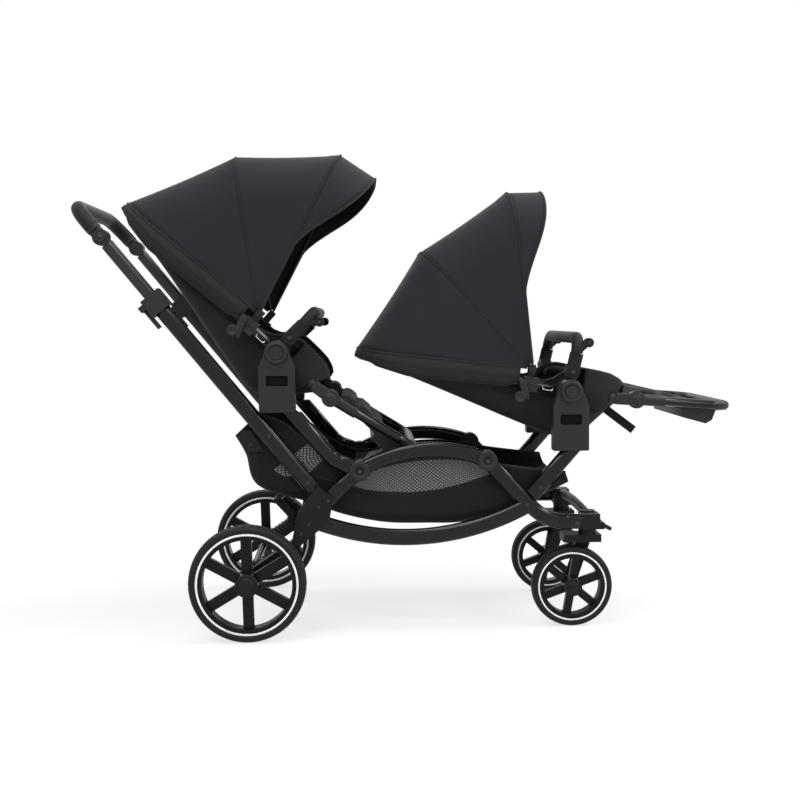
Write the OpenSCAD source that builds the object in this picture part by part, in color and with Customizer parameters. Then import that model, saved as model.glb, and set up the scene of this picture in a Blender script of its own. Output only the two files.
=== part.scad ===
// Tandem stroller: one wheeled frame that carries two facing-forward seats, one behind the other.
// X runs forward, Y to the left, Z up; stations along X are counted from the rear axle.

/* [Overall] */
// Rear axle to front axle
wheel_base = 762; // [720:1:820]
// Centre to centre of the rear wheels
rear_track = 545; // [520:1:600]
// Centre to centre of the front wheels
front_track = 357; // [340:1:380]
// Centre to centre of the two side frames
frame_track = 424; // [420:1:440]

/* [Wheels] */
// Rear wheel diameter over the tyre
rear_wheel_d = 270; // [250:1:290]
// Front wheel diameter over the tyre
front_wheel_d = 193; // [180:1:205]
// Width of the rear tyre
rear_tyre_w = 44; // [36:1:48]
// Width of the front tyre
front_tyre_w = 36; // [30:1:40]
// Radial height of the rear tyre
rear_tyre_h = 17; // [14:1:20]
// Radial height of the front tyre
front_tyre_h = 14; // [11:1:17]
// Radial height of a rim ring
rim_h = 15; // [11:1:18]
// Width of a rear spoke
rear_spoke_w = 25; // [18:1:30]
// Width of a front spoke
front_spoke_w = 19; // [14:1:24]
// Spokes in each wheel
spokes = 6; // [5:1:8]
// Diameter of a rear wheel hub
rear_hub_d = 54; // [52:1:60]
// Diameter of a front wheel hub
front_hub_d = 44; // [42:1:50]
// Diameter of the wheel axles
axle_d = 12; // [10:1:14]

/* [Side frames] */
// Height of the frame tubes as seen from the side
tube_h = 36; // [32:1:38]
// Width of the frame tubes across the frame
tube_w = 24; // [20:1:25]
// Lean of the push tubes above the ground plane, in degrees
push_lean = 51; // [48:0.5:54]
// Station of the foot of the push tubes
push_foot_x = 166; // [160:1:172]
// Height of the foot of the push tubes
push_foot_z = 322; // [318:1:328]
// Length of an outer push tube
push_len = 585; // [560:1:620]
// Height of an outer push tube section
push_h = 38; // [36:1:42]
// Width of an outer push tube section
push_w = 25; // [24:1:26]
// Wall of the push tubes
push_wall = 3; // [2:0.5:3.5]
// Station of the rear frame hinge
rear_hinge_x = 259; // [250:1:268]
// Height of the rear frame hinge
rear_hinge_z = 384; // [378:1:390]
// Distance of the front frame hinge behind the front axle
front_hinge_back = 205; // [197:1:217]
// Height of the front frame hinge
front_hinge_z = 404; // [398:1:410]
// Diameter of the frame hinge bosses
hinge_d = 47; // [44:1:52]
// Rise of the arch beam above the line between its hinges
arch_rise = 35; // [28:1:45]
// Drop of the lower bow below the line between its ends
bow_drop = 54; // [45:1:70]
// Height of the lower bow section
bow_h = 39; // [36:1:42]
// Height of the level front leg run
leg_z = 256; // [250:1:262]
// Bend radius of the front leg
leg_bend = 110; // [80:1:130]

/* [Handle] */
// Tube showing between the clamp collar and the handle elbow
handle_draw = 193; // [180:1:230]
// Tube still inside the push tube
handle_insert = 240; // [200:1:300]
// Height of the sliding handle tube section
handle_h = 30; // [27:0.5:31]
// Width of the sliding handle tube section
handle_w = 18; // [16:0.5:18.4]
// Lean of the grip above the ground plane, in degrees
grip_lean = 49; // [44:1:54]
// Elbow to grip centre line
grip_reach = 96; // [96:1:120]
// Thickness of the grip
grip_d = 34; // [30:1:38]
// Bend radius of the grip corners
grip_bend = 68; // [60:1:70]

/* [Seats] */
// Station of the rear seat pivot
rear_seat_x = 71; // [66:1:76]
// Height of the rear seat pivot
rear_seat_z = 660; // [650:1:672]
// Nose-down tilt of the rear seat, in degrees
rear_seat_tilt = 41.5; // [38:0.5:44]
// Lift of the rear leg rest above the seat rail, in degrees
rear_leg_lift = 9.8; // [6:0.2:12]
// Distance of the front seat pivot behind the front axle
front_seat_back = 10; // [4:1:20]
// Height of the front seat pivot
front_seat_z = 563; // [556:1:572]
// Nose-down tilt of the front seat, in degrees
front_seat_tilt = 8; // [6:0.5:12]
// Lift of the front leg rest above the seat rail, in degrees
front_leg_lift = 3.2; // [1:0.2:6]
// Centre to centre of the seat rails
rail_track = 360; // [352:1:362]
// Diameter of the seat rails and the back hoop
rail_d = 22; // [19:1:24]
// Pivot to the far end of the back hoop
back_len = 505; // [480:1:520]
// Rise of the back hoop at its far end, in degrees
back_rise = 2; // [0:0.5:4]
// Bend radius of the back hoop corners
back_bend = 105; // [90:1:130]
// Pivot to the leg rest hinge
leg_hinge_x = 163; // [156:1:170]
// Leg rest hinge to the foot end
leg_len = 238; // [225:1:250]
// Centre to centre of the leg rest tubes
leg_track = 354; // [340:1:354]
// Depth of the seat below its pivots
seat_depth = 115; // [105:1:125]
// Wall of the fabric seat
cloth_wall = 4; // [3:0.5:5]
// Thickness of the seat liner cushion
pad_t = 22; // [16:1:26]
// Diameter of the seat pivot shafts
pivot_d = 38; // [34:1:40]
// Diameter of the round pivot covers
cover_d = 50; // [46:1:54]

/* [Canopies] */
// Canopy pivot behind the seat pivot
hood_back = 90; // [84:1:98]
// Canopy pivot above the seat pivot
hood_up = 41; // [36:1:46]
// Reach of the middle rib from the canopy pivot
rib_mid_r = 373; // [360:1:390]
// Angle of the middle rib from the seat rail, in degrees
rib_mid_a = 140.5; // [136:0.5:146]
// Reach of the front rib from the canopy pivot
rib_front_r = 416; // [400:1:430]
// Angle of the front rib from the seat rail, in degrees
rib_front_a = 104.5; // [100:0.5:110]
// Angle of the visor edge from the seat rail, in degrees
visor_a = 91; // [88:0.5:95]
// Bend radius of the rib corners
rib_bend = 120; // [100:1:150]
// Diameter of a rib
rib_d = 6; // [5:0.5:7]
// Thickness of the canopy cloth
hood_wall = 2.4; // [2:0.2:3]

/* [Basket] */
// Height of the basket floor at its lowest
basket_floor = 249; // [246:1:262]
// Wall of the basket cloth
basket_wall = 4; // [3:0.5:5]

/* [Hidden] */
// Smoothness of round faces
$fn = 64;
// Gap between pieces that are seated on each other
seat_gap = 0.3;
// Gap round pieces that turn or slide
run_gap = 0.5;
// Overrun of every cut
over = 2;
// How much slimmer a slanted bend is than the runs it joins, a side, and how far it runs into them
bend_ease = 0.15;
bend_lap = 2;
rear_r = rear_wheel_d / 2;
front_r = front_wheel_d / 2;
frame_y = frame_track / 2;
rail_y = rail_track / 2;
hub_rear = [rear_seat_x, rear_seat_z];
hub_front = [wheel_base - front_seat_back, front_seat_z];
hinge_rear = [rear_hinge_x, rear_hinge_z];
hinge_front = [wheel_base - front_hinge_back, front_hinge_z];
push_foot = [push_foot_x, push_foot_z];
push_dir = [-cos(push_lean), sin(push_lean)];
collar_at = push_foot + push_dir * push_len;
elbow_at = collar_at + push_dir * handle_draw;
grip_dir = [-cos(grip_lean), sin(grip_lean)];
grip_at = elbow_at + grip_dir * grip_reach;
function turned(a, p) = [p.x * cos(a) + p.y * sin(a), p.y * cos(a) - p.x * sin(a)];
leg_hinge_z = 0;
foot_front = hub_front + turned(front_seat_tilt, [leg_hinge_x, leg_hinge_z])
    + turned(front_seat_tilt - front_leg_lift, [leg_len, 0]);
rear_end = grip_at.x - grip_d / 2;
front_end = foot_front.x + rail_d / 2;
origin_x = (rear_end + front_end) / 2;
hinge_pad = 7;
hinge_bolt_d = 12;
collar_h = 52;
collar_len = 46;
collar_out = 19;
collar_in = 14;
lever_len = 58;
lever_w = 13;
lever_t = 9;
lever_pin_d = 7;
elbow_d = 38;
elbow_w = 26;
elbow_arm = 22;
elbow_cap_share = 0.6;
elbow_arm_h = 32;
elbow_arm_w = 22;
adapter_w = 84;
adapter_drop = 138;
adapter_neck = 34;
adapter_t = 32;
adapter_top_d = 57;
adapter_slot_w = 50;
adapter_slot_h = 24;
adapter_slot_drop = 65;
adapter_slot_depth = 8;
adapter_in = 12;
adapter_y = frame_y - adapter_in;
block_y = frame_y - push_w / 2;
block_lip = 8;
block_t = push_w + block_lip;
block_w = 108;
block_h = 152;
block_x = 93;
block_z = 200;
block_shares = [[0.02, 0], [0.24, 0.07], [0.87, 0.44], [0.97, 0.8], [0.64, 1], [0.46, 0.85], [0.18, 0.54]];
rear_arm_h = 34;
cross_tube_d = 28;
cross_tube_in = [30, 34];
cross_tube_at = [block_x, block_z] + cross_tube_in;
spring_d = 26;
spring_wire_d = 4;
spring_turns = 6;
pedal_len = 78;
pedal_w = 72;
pedal_t = 9;
pedal_in = 4;
pedal_y = -120;
pedal_boss_d = 38;
castor_trail = 38;
knuckle_x = wheel_base + castor_trail;
knuckle_y = front_track / 2;
knuckle_d = 44;
knuckle_low = 234;
knuckle_high = 268;
cap_d = 36;
cap_h = 9;
bridge_h = 26;
bridge_w = 16;
bridge_sag = 6;
kingpin_d = 14;
fork_gap = 5;
fork_t = 13;
lock_len = 24;
lock_w = 30;
lock_t = 8;
lock_pin_d = 7;

// Sections, straight runs and bends of a tube that lies in one plane

module oval(h, w) {
    d = min(h, w);
    if (h > w) square([h - w, w], center = true);
    if (w > h) square([h, w - h], center = true);
    for (side = [-1, 1]) translate(side / 2 * [h - d, w - d]) circle(d = d);
}

module run(a, b, h, w) {
    step = b - a;
    translate([a.x, a.y, 0]) rotate([0, 0, atan2(step.y, step.x)]) rotate([90, 0, 90])
        linear_extrude(norm(step)) oval(h, w);
}

function heading(a, b) = atan2(b.y - a.y, b.x - a.x);
function wrapped(a) = a > 180 ? a - 360 : a < -180 ? a + 360 : a;
function turn_at(p, i) = wrapped(heading(p[i], p[i + 1]) - heading(p[i - 1], p[i]));
function setback(p, i, r) = i == 0 || i == len(p) - 1 ? 0 : r * tan(abs(turn_at(p, i)) / 2);
function along(a, b, d) = a + (b - a) * d / norm(b - a);

// The bends may be drawn in by ease and run on by lap degrees, so that they end inside the straight runs
module bent_tube(p, r, h, w, ease = 0, lap = 0) {
    for (i = [0:len(p) - 2])
        run(along(p[i], p[i + 1], setback(p, i, r)), along(p[i + 1], p[i], setback(p, i + 1, r)), h, w);
    for (i = [1:len(p) - 2]) {
        way = heading(p[i - 1], p[i]);
        turn = turn_at(p, i);
        start = along(p[i], p[i - 1], setback(p, i, r));
        hand = turn > 0 ? 1 : -1;
        centre = start + hand * r * [-sin(way), cos(way)];
        translate([centre.x, centre.y, 0])
            rotate([0, 0, (turn > 0 ? way - 90 : way + 90 + turn) - lap])
                rotate_extrude(angle = abs(turn) + 2 * lap) translate([r, 0])
                    oval(h - 2 * ease, w - 2 * ease);
    }
}

// One round arc from a to b that bulges to the left of the way by the given rise
module arc_tube(a, b, rise, h, w) {
    span = norm(b - a);
    side = abs(rise);
    r = span * span / (8 * side) + side / 2;
    half = asin(span / (2 * r));
    way = heading(a, b);
    hand = rise > 0 ? 1 : -1;
    centre = (a + b) / 2 - hand * (r - side) * [-sin(way), cos(way)];
    translate([centre.x, centre.y, 0]) rotate([0, 0, way + hand * 90 - half])
        rotate_extrude(angle = 2 * half) translate([r, 0]) oval(h, w);
}

// Turns a drawing in X and Y into the upright X and Z plane at the given Y
module upright(y) {
    translate([0, y, 0]) rotate([90, 0, 0]) children();
}

// A slab of the upright plane that starts at y and is t thick, away from the centre plane
module slab(y, t) {
    translate([0, y + t, 0]) rotate([90, 0, 0]) linear_extrude(t) children();
}

// A round bar along Y from y0 to y1, centred on a point of the upright plane
module cross_bar(p, d, y0, y1) {
    translate([p.x, y1, p.y]) rotate([90, 0, 0]) cylinder(d = d, h = y1 - y0);
}

module both_sides() {
    children();
    mirror([0, 1, 0]) children();
}

module at_origin() {
    translate([-origin_x, 0, 0]) children();
}

module seat_place(hub, tilt) {
    at_origin() translate([hub.x, 0, hub.y]) rotate([0, tilt, 0]) children();
}

// Frame tubes

module push_bore() {
    run(push_foot, collar_at + push_dir * over, push_h - 2 * push_wall, push_w - 2 * push_wall);
}

module block_outline() {
    translate([block_x, block_z]) polygon([for (s = block_shares) [s.x * block_w, s.y * block_h]]);
}

module push_tubes() {
    color("#2b2b2d") at_origin() both_sides() difference() {
        upright(frame_y) run(push_foot, collar_at, push_h, push_w);
        upright(frame_y) push_bore();
        slab(block_y - over, block_t + 2 * over) block_outline();
    }
}

module hinge_cut(p) {
    cross_bar(p, hinge_d + 2 * seat_gap, frame_y - tube_w, frame_y + tube_w);
}

post_bend = 60;
post_entry = [30, 36];
rear_post_in = 32;
rear_post_top = hub_rear + [rear_post_in, -adapter_drop];
rear_post_turn = [-60, 24];
rear_post_bend = hinge_rear + rear_post_turn;
front_post_in = 4;
front_post_top = hub_front + [front_post_in, -adapter_drop];
front_post_step = [88, 44];
front_post_foot = [hinge_front.x, leg_z] + front_post_step;
leg_fall = 46.7;
leg_corner = [hinge_front.x + (front_hinge_z - leg_z) / tan(leg_fall), leg_z];
function on_block(s) = [block_x + block_w * s.x, block_z + block_h * s.y];
bow_rear_share = [0.62, 0.42];
bow_rear = on_block(bow_rear_share);
rear_leg_share = [0.6, 0.62];
rear_leg_foot = on_block(rear_leg_share);
bow_front_step = [-46, 40];
bow_front = leg_corner + bow_front_step;

module leg_shape(grown, end_x) {
    bent_tube([hinge_front, leg_corner, [end_x, leg_z]], leg_bend,
        tube_h + 2 * grown, tube_w + 2 * grown, bend_ease, bend_lap);
}

module leg_cut() {
    upright(frame_y) leg_shape(seat_gap, knuckle_x);
}

module block_cut() {
    slab(block_y - over, block_t + 2 * over) block_outline_grown();
}

module block_outline_grown() {
    translate([block_x - seat_gap, block_z - seat_gap]) polygon([for (s = block_shares)
        [s.x * (block_w + 2 * seat_gap), s.y * (block_h + 2 * seat_gap)]]);
}

module adapter_cut(hub) {
    translate([hub.x - adapter_w, adapter_y - over, hub.y - adapter_drop - seat_gap])
        cube([2 * adapter_w, adapter_t + 2 * over, adapter_drop]);
}

mouth_share = 2.5;
module seat_posts() {
    color("#262628") at_origin() both_sides() {
        difference() {
            upright(frame_y) bent_tube(
                [rear_post_top + [-post_entry.x, post_entry.y], rear_post_bend, hinge_rear],
                post_bend, tube_h, tube_w, bend_ease, bend_lap);
            hinge_cut(hinge_rear);
            adapter_cut(hub_rear);
        }
        difference() {
            upright(frame_y) run(front_post_top + post_entry, front_post_foot, tube_h, tube_w);
            adapter_cut(hub_front);
            leg_cut();
            translate([hinge_front.x, adapter_y - over, front_hinge_z]) rotate([0, leg_fall, 0])
                translate([0, 0, -2 * tube_h])
                    cube([push_len, 2 * tube_w, mouth_share * tube_h + seat_gap]);
        }
    }
}

// Side beams: the arch between the hinges and the bow below it, on each side
module side_beams() {
    color("#242426") at_origin() both_sides() {
        difference() {
            upright(frame_y) arc_tube(hinge_rear, hinge_front, arch_rise, tube_h, tube_w);
            hinge_cut(hinge_rear);
            hinge_cut(hinge_front);
        }
        difference() {
            upright(frame_y) arc_tube(bow_rear, bow_front, -bow_drop, bow_h, tube_w);
            block_cut();
            leg_cut();
        }
    }
}

module leg_tubes() {
    color("#262628") at_origin() both_sides() {
        difference() {
            upright(frame_y) leg_shape(0, knuckle_x - knuckle_d / 2 - seat_gap);
            hinge_cut(hinge_front);
        }
        difference() {
            upright(frame_y) run(hinge_rear, rear_leg_foot, tube_h, tube_w);
            hinge_cut(hinge_rear);
            upright(frame_y) run(rear_post_bend, hinge_rear, tube_h + 2 * seat_gap, tube_w + 2 * seat_gap);
            block_cut();
        }
    }
}

module hinge_covers() {
    color("#1d1d1f") at_origin() both_sides() for (p = [hinge_rear, hinge_front]) {
        cross_bar(p, hinge_d, frame_y - tube_w / 2, frame_y + tube_w / 2 + hinge_pad);
        cross_bar(p, hinge_bolt_d, frame_y, frame_y + tube_w / 2 + hinge_pad + push_wall);
    }
}

arm_top_share = [0.2, 0.08];
arm_top = on_block(arm_top_share);
module rear_blocks() {
    color("#1f1f21") at_origin() both_sides() difference() {
        union() {
            slab(block_y, block_t) {
                block_outline();
                translate([0, rear_r]) rotate(heading([0, rear_r], arm_top)) translate([0, -rear_arm_h / 2])
                    square([norm(arm_top - [0, rear_r]), rear_arm_h]);
                translate([0, rear_r]) circle(d = rear_boss_d);
            }
            perches();
        }
        cross_bar([0, rear_r], axle_tube_d + 2 * seat_gap, 0, rear_track);
        cross_bar(cross_tube_at, cross_tube_d + 2 * seat_gap, 0, frame_y);
    }
}

axle_tube_d = 20;
rear_boss_d = 50;
hub_len = 52;
front_hub_len = 42;
brake_drum_d = 58;
module rear_axle() {
    stub_end = rear_track / 2 + hub_len / 2 - hub_cap_t;
    color("#2a2a2c") at_origin() {
        tube_end = rear_track / 2 - hub_len / 2 - seat_gap;
        cross_bar([0, rear_r], axle_tube_d, -tube_end, tube_end);
        cross_bar([0, rear_r], axle_d, -stub_end, stub_end);
        cross_bar(cross_tube_at, cross_tube_d, seat_gap - frame_y, frame_y - seat_gap);
        both_sides() cross_bar([0, rear_r], brake_drum_d, block_y + block_t + seat_gap, tube_end);
    }
}

// Suspension springs beside the rear arms, each one unbroken wire along a helix
spring_rings = 8;
spring_sides = 6;
spring_foot_shares = [0.18, 0.75];
spring_foot = [block_x * spring_foot_shares.x, rear_r + rear_arm_h * spring_foot_shares.y];
spring_len = 62;
spring_y = block_y - spring_d / 2 - run_gap;
spring_look_share = 0.01;
function helix(t) = [
    (spring_d - spring_wire_d) / 2 * cos(360 * t),
    (spring_d - spring_wire_d) / 2 * sin(360 * t),
    spring_len * t / spring_turns];
function spring_ring(t) = let (
        c = helix(t),
        out = [cos(360 * t), sin(360 * t), 0],
        way = helix(t + spring_look_share) - helix(t - spring_look_share),
        up = cross(way, out) / norm(way))
    [for (k = [0:spring_sides - 1])
        c + spring_wire_d / 2 * (out * cos(360 * k / spring_sides) + up * sin(360 * k / spring_sides))];
spring_count = spring_turns * spring_rings;
spring_points = [for (i = [0:spring_count]) each spring_ring(i / spring_rings)];
function ring_face(i, k) = let (
        a = i * spring_sides + k,
        b = i * spring_sides + (k + 1) % spring_sides)
    [[a, b, a + spring_sides], [b, b + spring_sides, a + spring_sides]];
spring_faces = concat(
    [[for (k = [spring_sides - 1:-1:0]) k]],
    [for (i = [0:spring_count - 1], k = [0:spring_sides - 1]) each ring_face(i, k)],
    [[for (k = [0:spring_sides - 1]) spring_count * spring_sides + k]]);
echo(spring_self_gap = spring_len / spring_turns - spring_wire_d);
spring_way = heading([0, rear_r], arm_top);
perch_t = 5;
perch_rod_d = 10;

module on_spring_axis() {
    translate([spring_foot.x, spring_y, spring_foot.y]) rotate([0, 90 - spring_way, 0]) children();
}

// Two ears with a rod between them that hold a spring against the inner face of the block
module perches() {
    ear_gap = spring_wire_d / 2 + seat_gap;
    on_spring_axis() {
        for (z = [-perch_t - ear_gap, spring_len + ear_gap])
            translate([-spring_d / 2, -spring_d / 2, z])
                cube([spring_d, block_y + over - spring_y + spring_d / 2, perch_t]);
        translate([0, 0, -perch_t]) cylinder(d = perch_rod_d, h = spring_len + 2 * perch_t);
    }
}

module suspension_springs() {
    color("#9a9a9c") at_origin() both_sides() on_spring_axis() polyhedron(spring_points, spring_faces);
}

// Front knuckles, the swivel housings on the front legs

bridge_z = leg_z + tube_h / 4;
lock_at = [knuckle_x + knuckle_d / 2 + lock_t + lock_pin_d / 2, knuckle_low + lock_t];
module front_knuckles() {
    color("#1f1f21") at_origin() difference() {
        union() {
            both_sides() {
                translate([knuckle_x, knuckle_y, knuckle_low])
                    cylinder(d = knuckle_d, h = knuckle_high - knuckle_low);
                translate([knuckle_x, knuckle_y, knuckle_high]) cylinder(d = cap_d, h = cap_h);
                translate([knuckle_x - knuckle_d / 2, knuckle_y, leg_z - tube_h / 2])
                    cube([knuckle_d, frame_y + tube_w / 2 - knuckle_y, tube_h]);
                for (y = [knuckle_y - lock_w / 2 - lock_t, knuckle_y + lock_w / 2])
                    translate([knuckle_x, y, knuckle_low])
                        cube([knuckle_d / 2 + lock_t + lock_pin_d, lock_t, 2 * lock_t]);
                cross_bar(lock_at, lock_pin_d, knuckle_y - lock_w / 2 - lock_t,
                    knuckle_y + lock_w / 2 + lock_t);
            }
            translate([knuckle_x, 0, bridge_z]) rotate([90, 0, 90])
                arc_tube([-knuckle_y, 0], [knuckle_y, 0], bridge_sag, bridge_h, bridge_w);
        }
        both_sides() translate([knuckle_x, knuckle_y, knuckle_low - over])
            cylinder(d = kingpin_d + 2 * run_gap, h = knuckle_high - knuckle_low - over);
    }
}

// Seat adapters that clip the seats onto the posts

module adapter_outline() {
    polygon([
        [-adapter_w / 2, -adapter_drop],
        [adapter_w / 2, -adapter_drop],
        [adapter_w / 2, -adapter_neck],
        [adapter_top_d / 2, 0],
        [-adapter_top_d / 2, 0],
        [-adapter_w / 2, -adapter_neck]]);
    circle(d = adapter_top_d);
}

module adapter(hub) {
    translate([hub.x, 0, hub.y]) difference() {
        slab(adapter_y, adapter_t) adapter_outline();
        cross_bar([0, 0], pivot_d + 2 * run_gap, 0, frame_track);
        slot_low = -adapter_slot_drop - adapter_slot_h / 2;
        translate([-adapter_slot_w / 2, adapter_y + adapter_t - adapter_slot_depth, slot_low])
            cube([adapter_slot_w, adapter_t, adapter_slot_h]);
    }
}

module seat_adapters() {
    color("#333335") at_origin() both_sides() for (hub = [hub_rear, hub_front]) adapter(hub);
}

// Handle: collars with flip levers, sliding tubes, elbows and the grip

// Local X runs up the push tube, local Z points square to it, away from the seats
module in_push_line() {
    translate([collar_at.x, 0, collar_at.y]) rotate([0, push_lean - 180, 0]) children();
}

lever_ear_t = 6;
lever_share = 0.2;
lever_at = [collar_len * lever_share, collar_h / 2 + lever_pin_d + run_gap];
collar_y = frame_y - collar_in;
ear_y = lever_w / 2 + run_gap;

module clamp_collars() {
    color("#1c1c1e") at_origin() both_sides() in_push_line() difference() {
        union() {
            translate([-collar_len / 2, collar_y, -collar_h / 2])
                cube([collar_len, collar_in + collar_out, collar_h]);
            for (y = [frame_y - ear_y - lever_ear_t, frame_y + ear_y])
                translate([lever_at.x - lever_pin_d, y, collar_h / 2])
                    cube([2 * lever_pin_d, lever_ear_t, 2 * lever_pin_d]);
            cross_bar(lever_at, lever_pin_d, frame_y - ear_y - lever_ear_t, frame_y + ear_y + lever_ear_t);
        }
        upright(frame_y) {
            run([-collar_len, 0], [seat_gap, 0], push_h + 2 * seat_gap, push_w + 2 * seat_gap);
            run([-collar_len, 0], [collar_len, 0], handle_h + 2 * run_gap, handle_w + 2 * run_gap);
        }
    }
}

module clamp_lever() {
    in_push_line() difference() {
        union() {
            cross_bar(lever_at, 2 * lever_pin_d, frame_y - lever_w / 2, frame_y + lever_w / 2);
            translate([lever_at.x - lever_len, frame_y - lever_w / 2, collar_h / 2 + run_gap])
                cube([lever_len, lever_w, lever_t]);
        }
        cross_bar(lever_at, lever_pin_d + 2 * run_gap, frame_y - lever_w, frame_y + lever_w);
    }
}

module clamp_lever_left() {
    color("#232325") at_origin() clamp_lever();
}

module clamp_lever_right() {
    color("#232325") at_origin() mirror([0, 1, 0]) clamp_lever();
}

module handle_tubes() {
    color("#4a4a4d") at_origin() both_sides() upright(frame_y)
        run(collar_at - push_dir * handle_insert, elbow_at - push_dir * (elbow_d / 2 + seat_gap),
            handle_h, handle_w);
}

module handle_joints() {
    color("#1d1d1f") at_origin() both_sides() {
        cross_bar(elbow_at, elbow_d, frame_y - elbow_w / 2, frame_y + elbow_w / 2);
        upright(frame_y) run(elbow_at, elbow_at + grip_dir * elbow_arm, elbow_arm_h, elbow_arm_w);
        cross_bar(elbow_at, elbow_d * elbow_cap_share, frame_y, frame_y + elbow_w / 2 + push_wall);
    }
}

// The grip is one hoop in a plane that leans with the elbows
module handle_grip() {
    foot = elbow_arm + seat_gap;
    color("#17171a") at_origin() translate([elbow_at.x, 0, elbow_at.y])
        rotate([0, grip_lean - 90, 0]) rotate([90, 0, 90])
            bent_tube([[-frame_y, foot], [-frame_y, grip_reach], [frame_y, grip_reach], [frame_y, foot]],
                grip_bend, grip_d, grip_d);
}

// Parking brake pedal on the rear cross tube

pedal_lean = 48;
module brake_pedal() {
    color("#2b2b2d") at_origin() translate([cross_tube_at.x, pedal_y, cross_tube_at.y]) difference() {
        union() {
            rotate([90, 0, 0]) translate([0, 0, -pedal_w / 2]) cylinder(d = pedal_boss_d, h = pedal_w);
            rotate([0, pedal_lean - 180, 0]) translate([pedal_in, pedal_in - pedal_w / 2, -pedal_t / 2])
                cube([pedal_len + pedal_boss_d / 2, pedal_w - 2 * pedal_in, pedal_t]);
        }
        cross_bar([0, 0], cross_tube_d + 2 * run_gap, -pedal_w, pedal_w);
    }
}

// Wheels: a tyre on a rim with flat spokes, a hub and a round cap

tyre_crown = 28;
spoke_t = 14;
rim_lip = 4;
ring_w = 6;
ring_t = 1.5;
hub_cap_t = 4;

module tyre(r, w, h) {
    rotate([90, 0, 0]) rotate_extrude() intersection() {
        translate([r - h, -w / 2]) square([h, w]);
        translate([r - tyre_crown, 0]) circle(r = tyre_crown);
    }
}

module rim(r, w, h, spoke_w, phase, outer, hub, hub_d) {
    spoke_root = hub_d / 3;
    seat_r = r - h - seat_gap;
    rotate([90, 0, 0]) difference() {
        union() {
            rotate_extrude() {
                translate([seat_r - rim_h, rim_lip - w / 2]) square([rim_h, w - 2 * rim_lip]);
                translate([seat_r - ring_w, outer * (w / 2 - rim_lip) - (outer < 0 ? ring_t : 0)])
                    square([ring_w, ring_t]);
            }
            translate([0, 0, outer * hub_cap_t / 2])
                cylinder(d = hub_d, h = hub + hub_cap_t, center = true);
            for (i = [0:spokes - 1]) rotate([0, 0, phase + i * 360 / spokes])
                translate([spoke_root, -spoke_w / 2, -spoke_t / 2])
                    cube([seat_r - rim_h / 2 - spoke_root, spoke_w, spoke_t]);
        }
        translate([0, 0, -outer * hub_cap_t])
            cylinder(d = axle_d + 2 * run_gap, h = hub + over + hub_cap_t, center = true);
    }
}

rear_phase = 91;
front_phase = 80;
module at_rear_wheel(side) {
    at_origin() translate([0, side * rear_track / 2, rear_r]) children();
}

module at_front_wheel(side) {
    at_origin() translate([wheel_base, side * front_track / 2, front_r]) children();
}

module rear_tyre(side) {
    color("#161617") at_rear_wheel(side) tyre(rear_r, rear_tyre_w, rear_tyre_h);
}

module front_tyre(side) {
    color("#161617") at_front_wheel(side) tyre(front_r, front_tyre_w, front_tyre_h);
}

module rear_rim(side) {
    color("#1e1e20") at_rear_wheel(side)
        rim(rear_r, rear_tyre_w, rear_tyre_h, rear_spoke_w, rear_phase, -side, hub_len, rear_hub_d);
}

module front_rim(side) {
    color("#1e1e20") at_front_wheel(side)
        rim(front_r, front_tyre_w, front_tyre_h, front_spoke_w, front_phase, -side, front_hub_len,
            front_hub_d);
}

// Castor forks: a crown on the kingpin and one arm on the inner side of the wheel

fork_arm_h = 34;
fork_y = knuckle_y - front_tyre_w / 2 - fork_gap - fork_t;
crown_gap = 10;
crown_low = front_wheel_d + crown_gap;
crown_d = 42;
crown_back = 60;
crown_front = 30;
crown_h = 18;
module fork() {
    axle = [wheel_base, front_r];
    stub_end = knuckle_y + front_hub_len / 2 - hub_cap_t;
    translate([knuckle_x, knuckle_y, crown_low]) {
        cylinder(d = crown_d, h = knuckle_low - run_gap - crown_low);
        cylinder(d = kingpin_d, h = knuckle_high - crown_low - 3 * over);
    }
    translate([knuckle_x - crown_back, fork_y, crown_low])
        cube([crown_back + crown_front, knuckle_y + crown_d / 2 - fork_y, crown_h]);
    upright(fork_y + fork_t / 2) run([knuckle_x, crown_low + fork_t / 2], axle, fork_arm_h, fork_t);
    cross_bar(axle, fork_arm_h, fork_y, knuckle_y - front_hub_len / 2 - run_gap);
    cross_bar(axle, axle_d, fork_y, stub_end);
}

module fork_left() {
    color("#212123") at_origin() fork();
}

module fork_right() {
    color("#212123") at_origin() mirror([0, 1, 0]) fork();
}

lock_fall = 25;
module swivel_lock() {
    translate([lock_at.x, knuckle_y, lock_at.y]) rotate([0, lock_fall, 0]) difference() {
        union() {
            cross_bar([0, 0], lock_pin_d + 2 * run_gap + lock_t, run_gap - lock_w / 2,
                lock_w / 2 - run_gap);
            translate([0, run_gap - lock_w / 2, -lock_t / 2])
                cube([lock_len, lock_w - 2 * run_gap, lock_t]);
        }
        cross_bar([0, 0], lock_pin_d + 2 * run_gap, -lock_w, lock_w);
    }
}

module swivel_lock_left() {
    color("#2b2b2d") at_origin() swivel_lock();
}

module swivel_lock_right() {
    color("#2b2b2d") at_origin() mirror([0, 1, 0]) swivel_lock();
}

// Seat unit, drawn level with its pivot at the origin

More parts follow.
